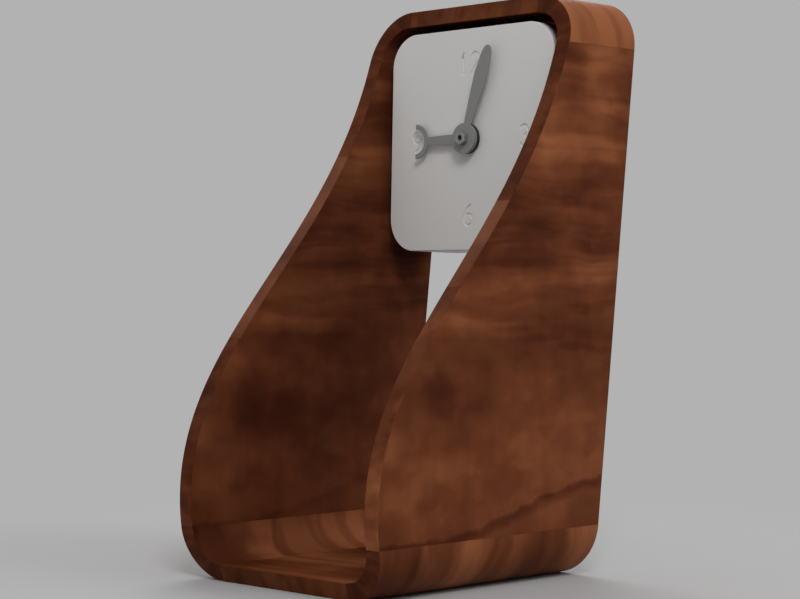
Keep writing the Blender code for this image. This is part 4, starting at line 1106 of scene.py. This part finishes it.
# The CAD solids that stay, by their finish and the starts of their names
kept_solids = {
    "tongue_birch": ("tongue",), "nut_black": ("side_spacer",), "brass_turned": ("threaded_bush",),
    "shell_plastic": ("movement_shell", "movement_lid", "coil_bobbin"), "rubber_skin": ("rubber_washer",),
    "gear_plastic": ("hour_wheel", "minute_wheel", "centre_wheel", "third_wheel", "fourth_wheel",
                     "step_wheel"),
    "steel_plated": ("side_screw", "stator", "coil_core", "quartz_crystal", "positive_contact",
                     "negative_contact"),
    "arbor_black": ("minute_arbor",), "knob_plastic": ("set_knob",), "magnet_sinter": ("rotor",),
    "coil_wire": ("coil_winding",), "board_lacquer": ("circuit_board",), "chip_resin": ("control_chip",),
}
for finish, starts in kept_solids.items():
    for name, node in nodes.items():
        if name.startswith(starts):
            for slot in node.material_slots:
                slot.material = finishes[finish]

# Floor, backdrop and light: the floor fades between two distances, the sky's strength runs from the
# horizon's to the zenith's, and each lamp has a place, a size and a power
backdrop = (0.445, 0.445, 0.445)
floor_grey = (0.46, 0.457, 0.457)
floor_fade = (0.18, 0.36)
floor_half = 6.0
sky_light = (0.206, 0.557)
lamp_target = np.array([0.0, 0.0, 0.13])
lamps = {"front_lamp": ((0.88, -0.68, 1.11), 0.42, 8.0), "side_lamp": ((1.15, 0.50, 0.90), 0.5, 3.4),
         "back_lamp": ((-0.80, 0.62, 1.14), 0.95, 8.7)}


def blended(factor, first, second, output):
    """Blends two shaders into the surface of an output node."""
    blend = add_node("MixShader", (factor, first.outputs[0], second.outputs[0]))
    feed(blend.outputs[0], blend.id_data.nodes[output].inputs["Surface"])


def floor_finish():
    """A pale floor that keeps the clock's shadow and fades into the backdrop further out."""
    material, shader = new_finish("floor_paper", 0.9, specular=0.1)
    feed(floor_grey, shader.inputs["Base Color"])
    fade = ranged(vector_maths("LENGTH", object_place(shader)), *floor_fade)
    seen = add_node("LightPath", tree=shader.id_data).outputs["Is Camera Ray"]
    glow = add_node("Emission", {"Color": backdrop}, shader.id_data)
    blended(maths("MULTIPLY", fade, seen), shader, glow, "Material Output")
    return material


def studio():
    """A sky that is brighter from above, and that cameras, gloss and glass see as the plain backdrop."""
    world = bpy.data.worlds.new("studio")
    bpy.context.scene.world = world
    world.use_nodes = True
    sky = world.node_tree
    upward = split_axes(add_node("TexCoord", tree=sky).outputs["Generated"])["Z"]
    ambient = sky.nodes["Background"]
    feed((1.0, 1.0, 1.0), ambient.inputs["Color"])
    feed(ranged(upward, 0.0, 1.0, *sky_light, smooth=False), ambient.inputs["Strength"])
    shown = add_node("Background", {"Color": backdrop}, sky)
    ray = add_node("LightPath", tree=sky).outputs
    direct = maths("MAXIMUM", ray["Is Camera Ray"],
                   maths("MAXIMUM", ray["Is Glossy Ray"], ray["Is Transmission Ray"]))
    blended(direct, ambient, shown, "World Output")


def softbox(name, place, size, power):
    """A square area lamp that faces its target: its axis is turned along the line between them."""
    lamp = bpy.data.lights.new(name, "AREA")
    lamp.size = size
    lamp.energy = power
    obj = in_scene(name, lamp)
    x, y, z = lamp_target - np.array(place)
    obj.location = place
    obj.rotation_euler = (math.atan2(math.hypot(x, y), -z), 0.0, math.atan2(-x, y))


floor_corners = np.array([(-1, -1, 0), (1, -1, 0), (1, 1, 0), (-1, 1, 0)]) * floor_half
floor = new_object("floor", floor_corners, [[0, 1, 2, 3]], [floor_finish()])
studio()
for name, settings in lamps.items():
    softbox(name, *settings)

# The camera that was fitted to the photograph, with its focal length and the image's width in pixels
focal_pixels, image_width, sensor_width = 2077.66, 800.0, 36.0
camera_place = (0.6116, -0.60914, 0.12004)
camera_dip, camera_heading = 0.403, 45.446
nearest, farthest = 0.05, 50.0
camera = in_scene("camera", bpy.data.cameras.new("camera"))
camera.data.sensor_width = sensor_width
camera.data.lens = focal_pixels / image_width * sensor_width
camera.data.clip_start = nearest
camera.data.clip_end = farthest
camera.location = camera_place
camera.rotation_euler = (math.radians(90.0 - camera_dip), 0.0, math.radians(camera_heading))
bpy.context.scene.camera = camera
bpy.context.scene.view_settings.view_transform = "Standard"
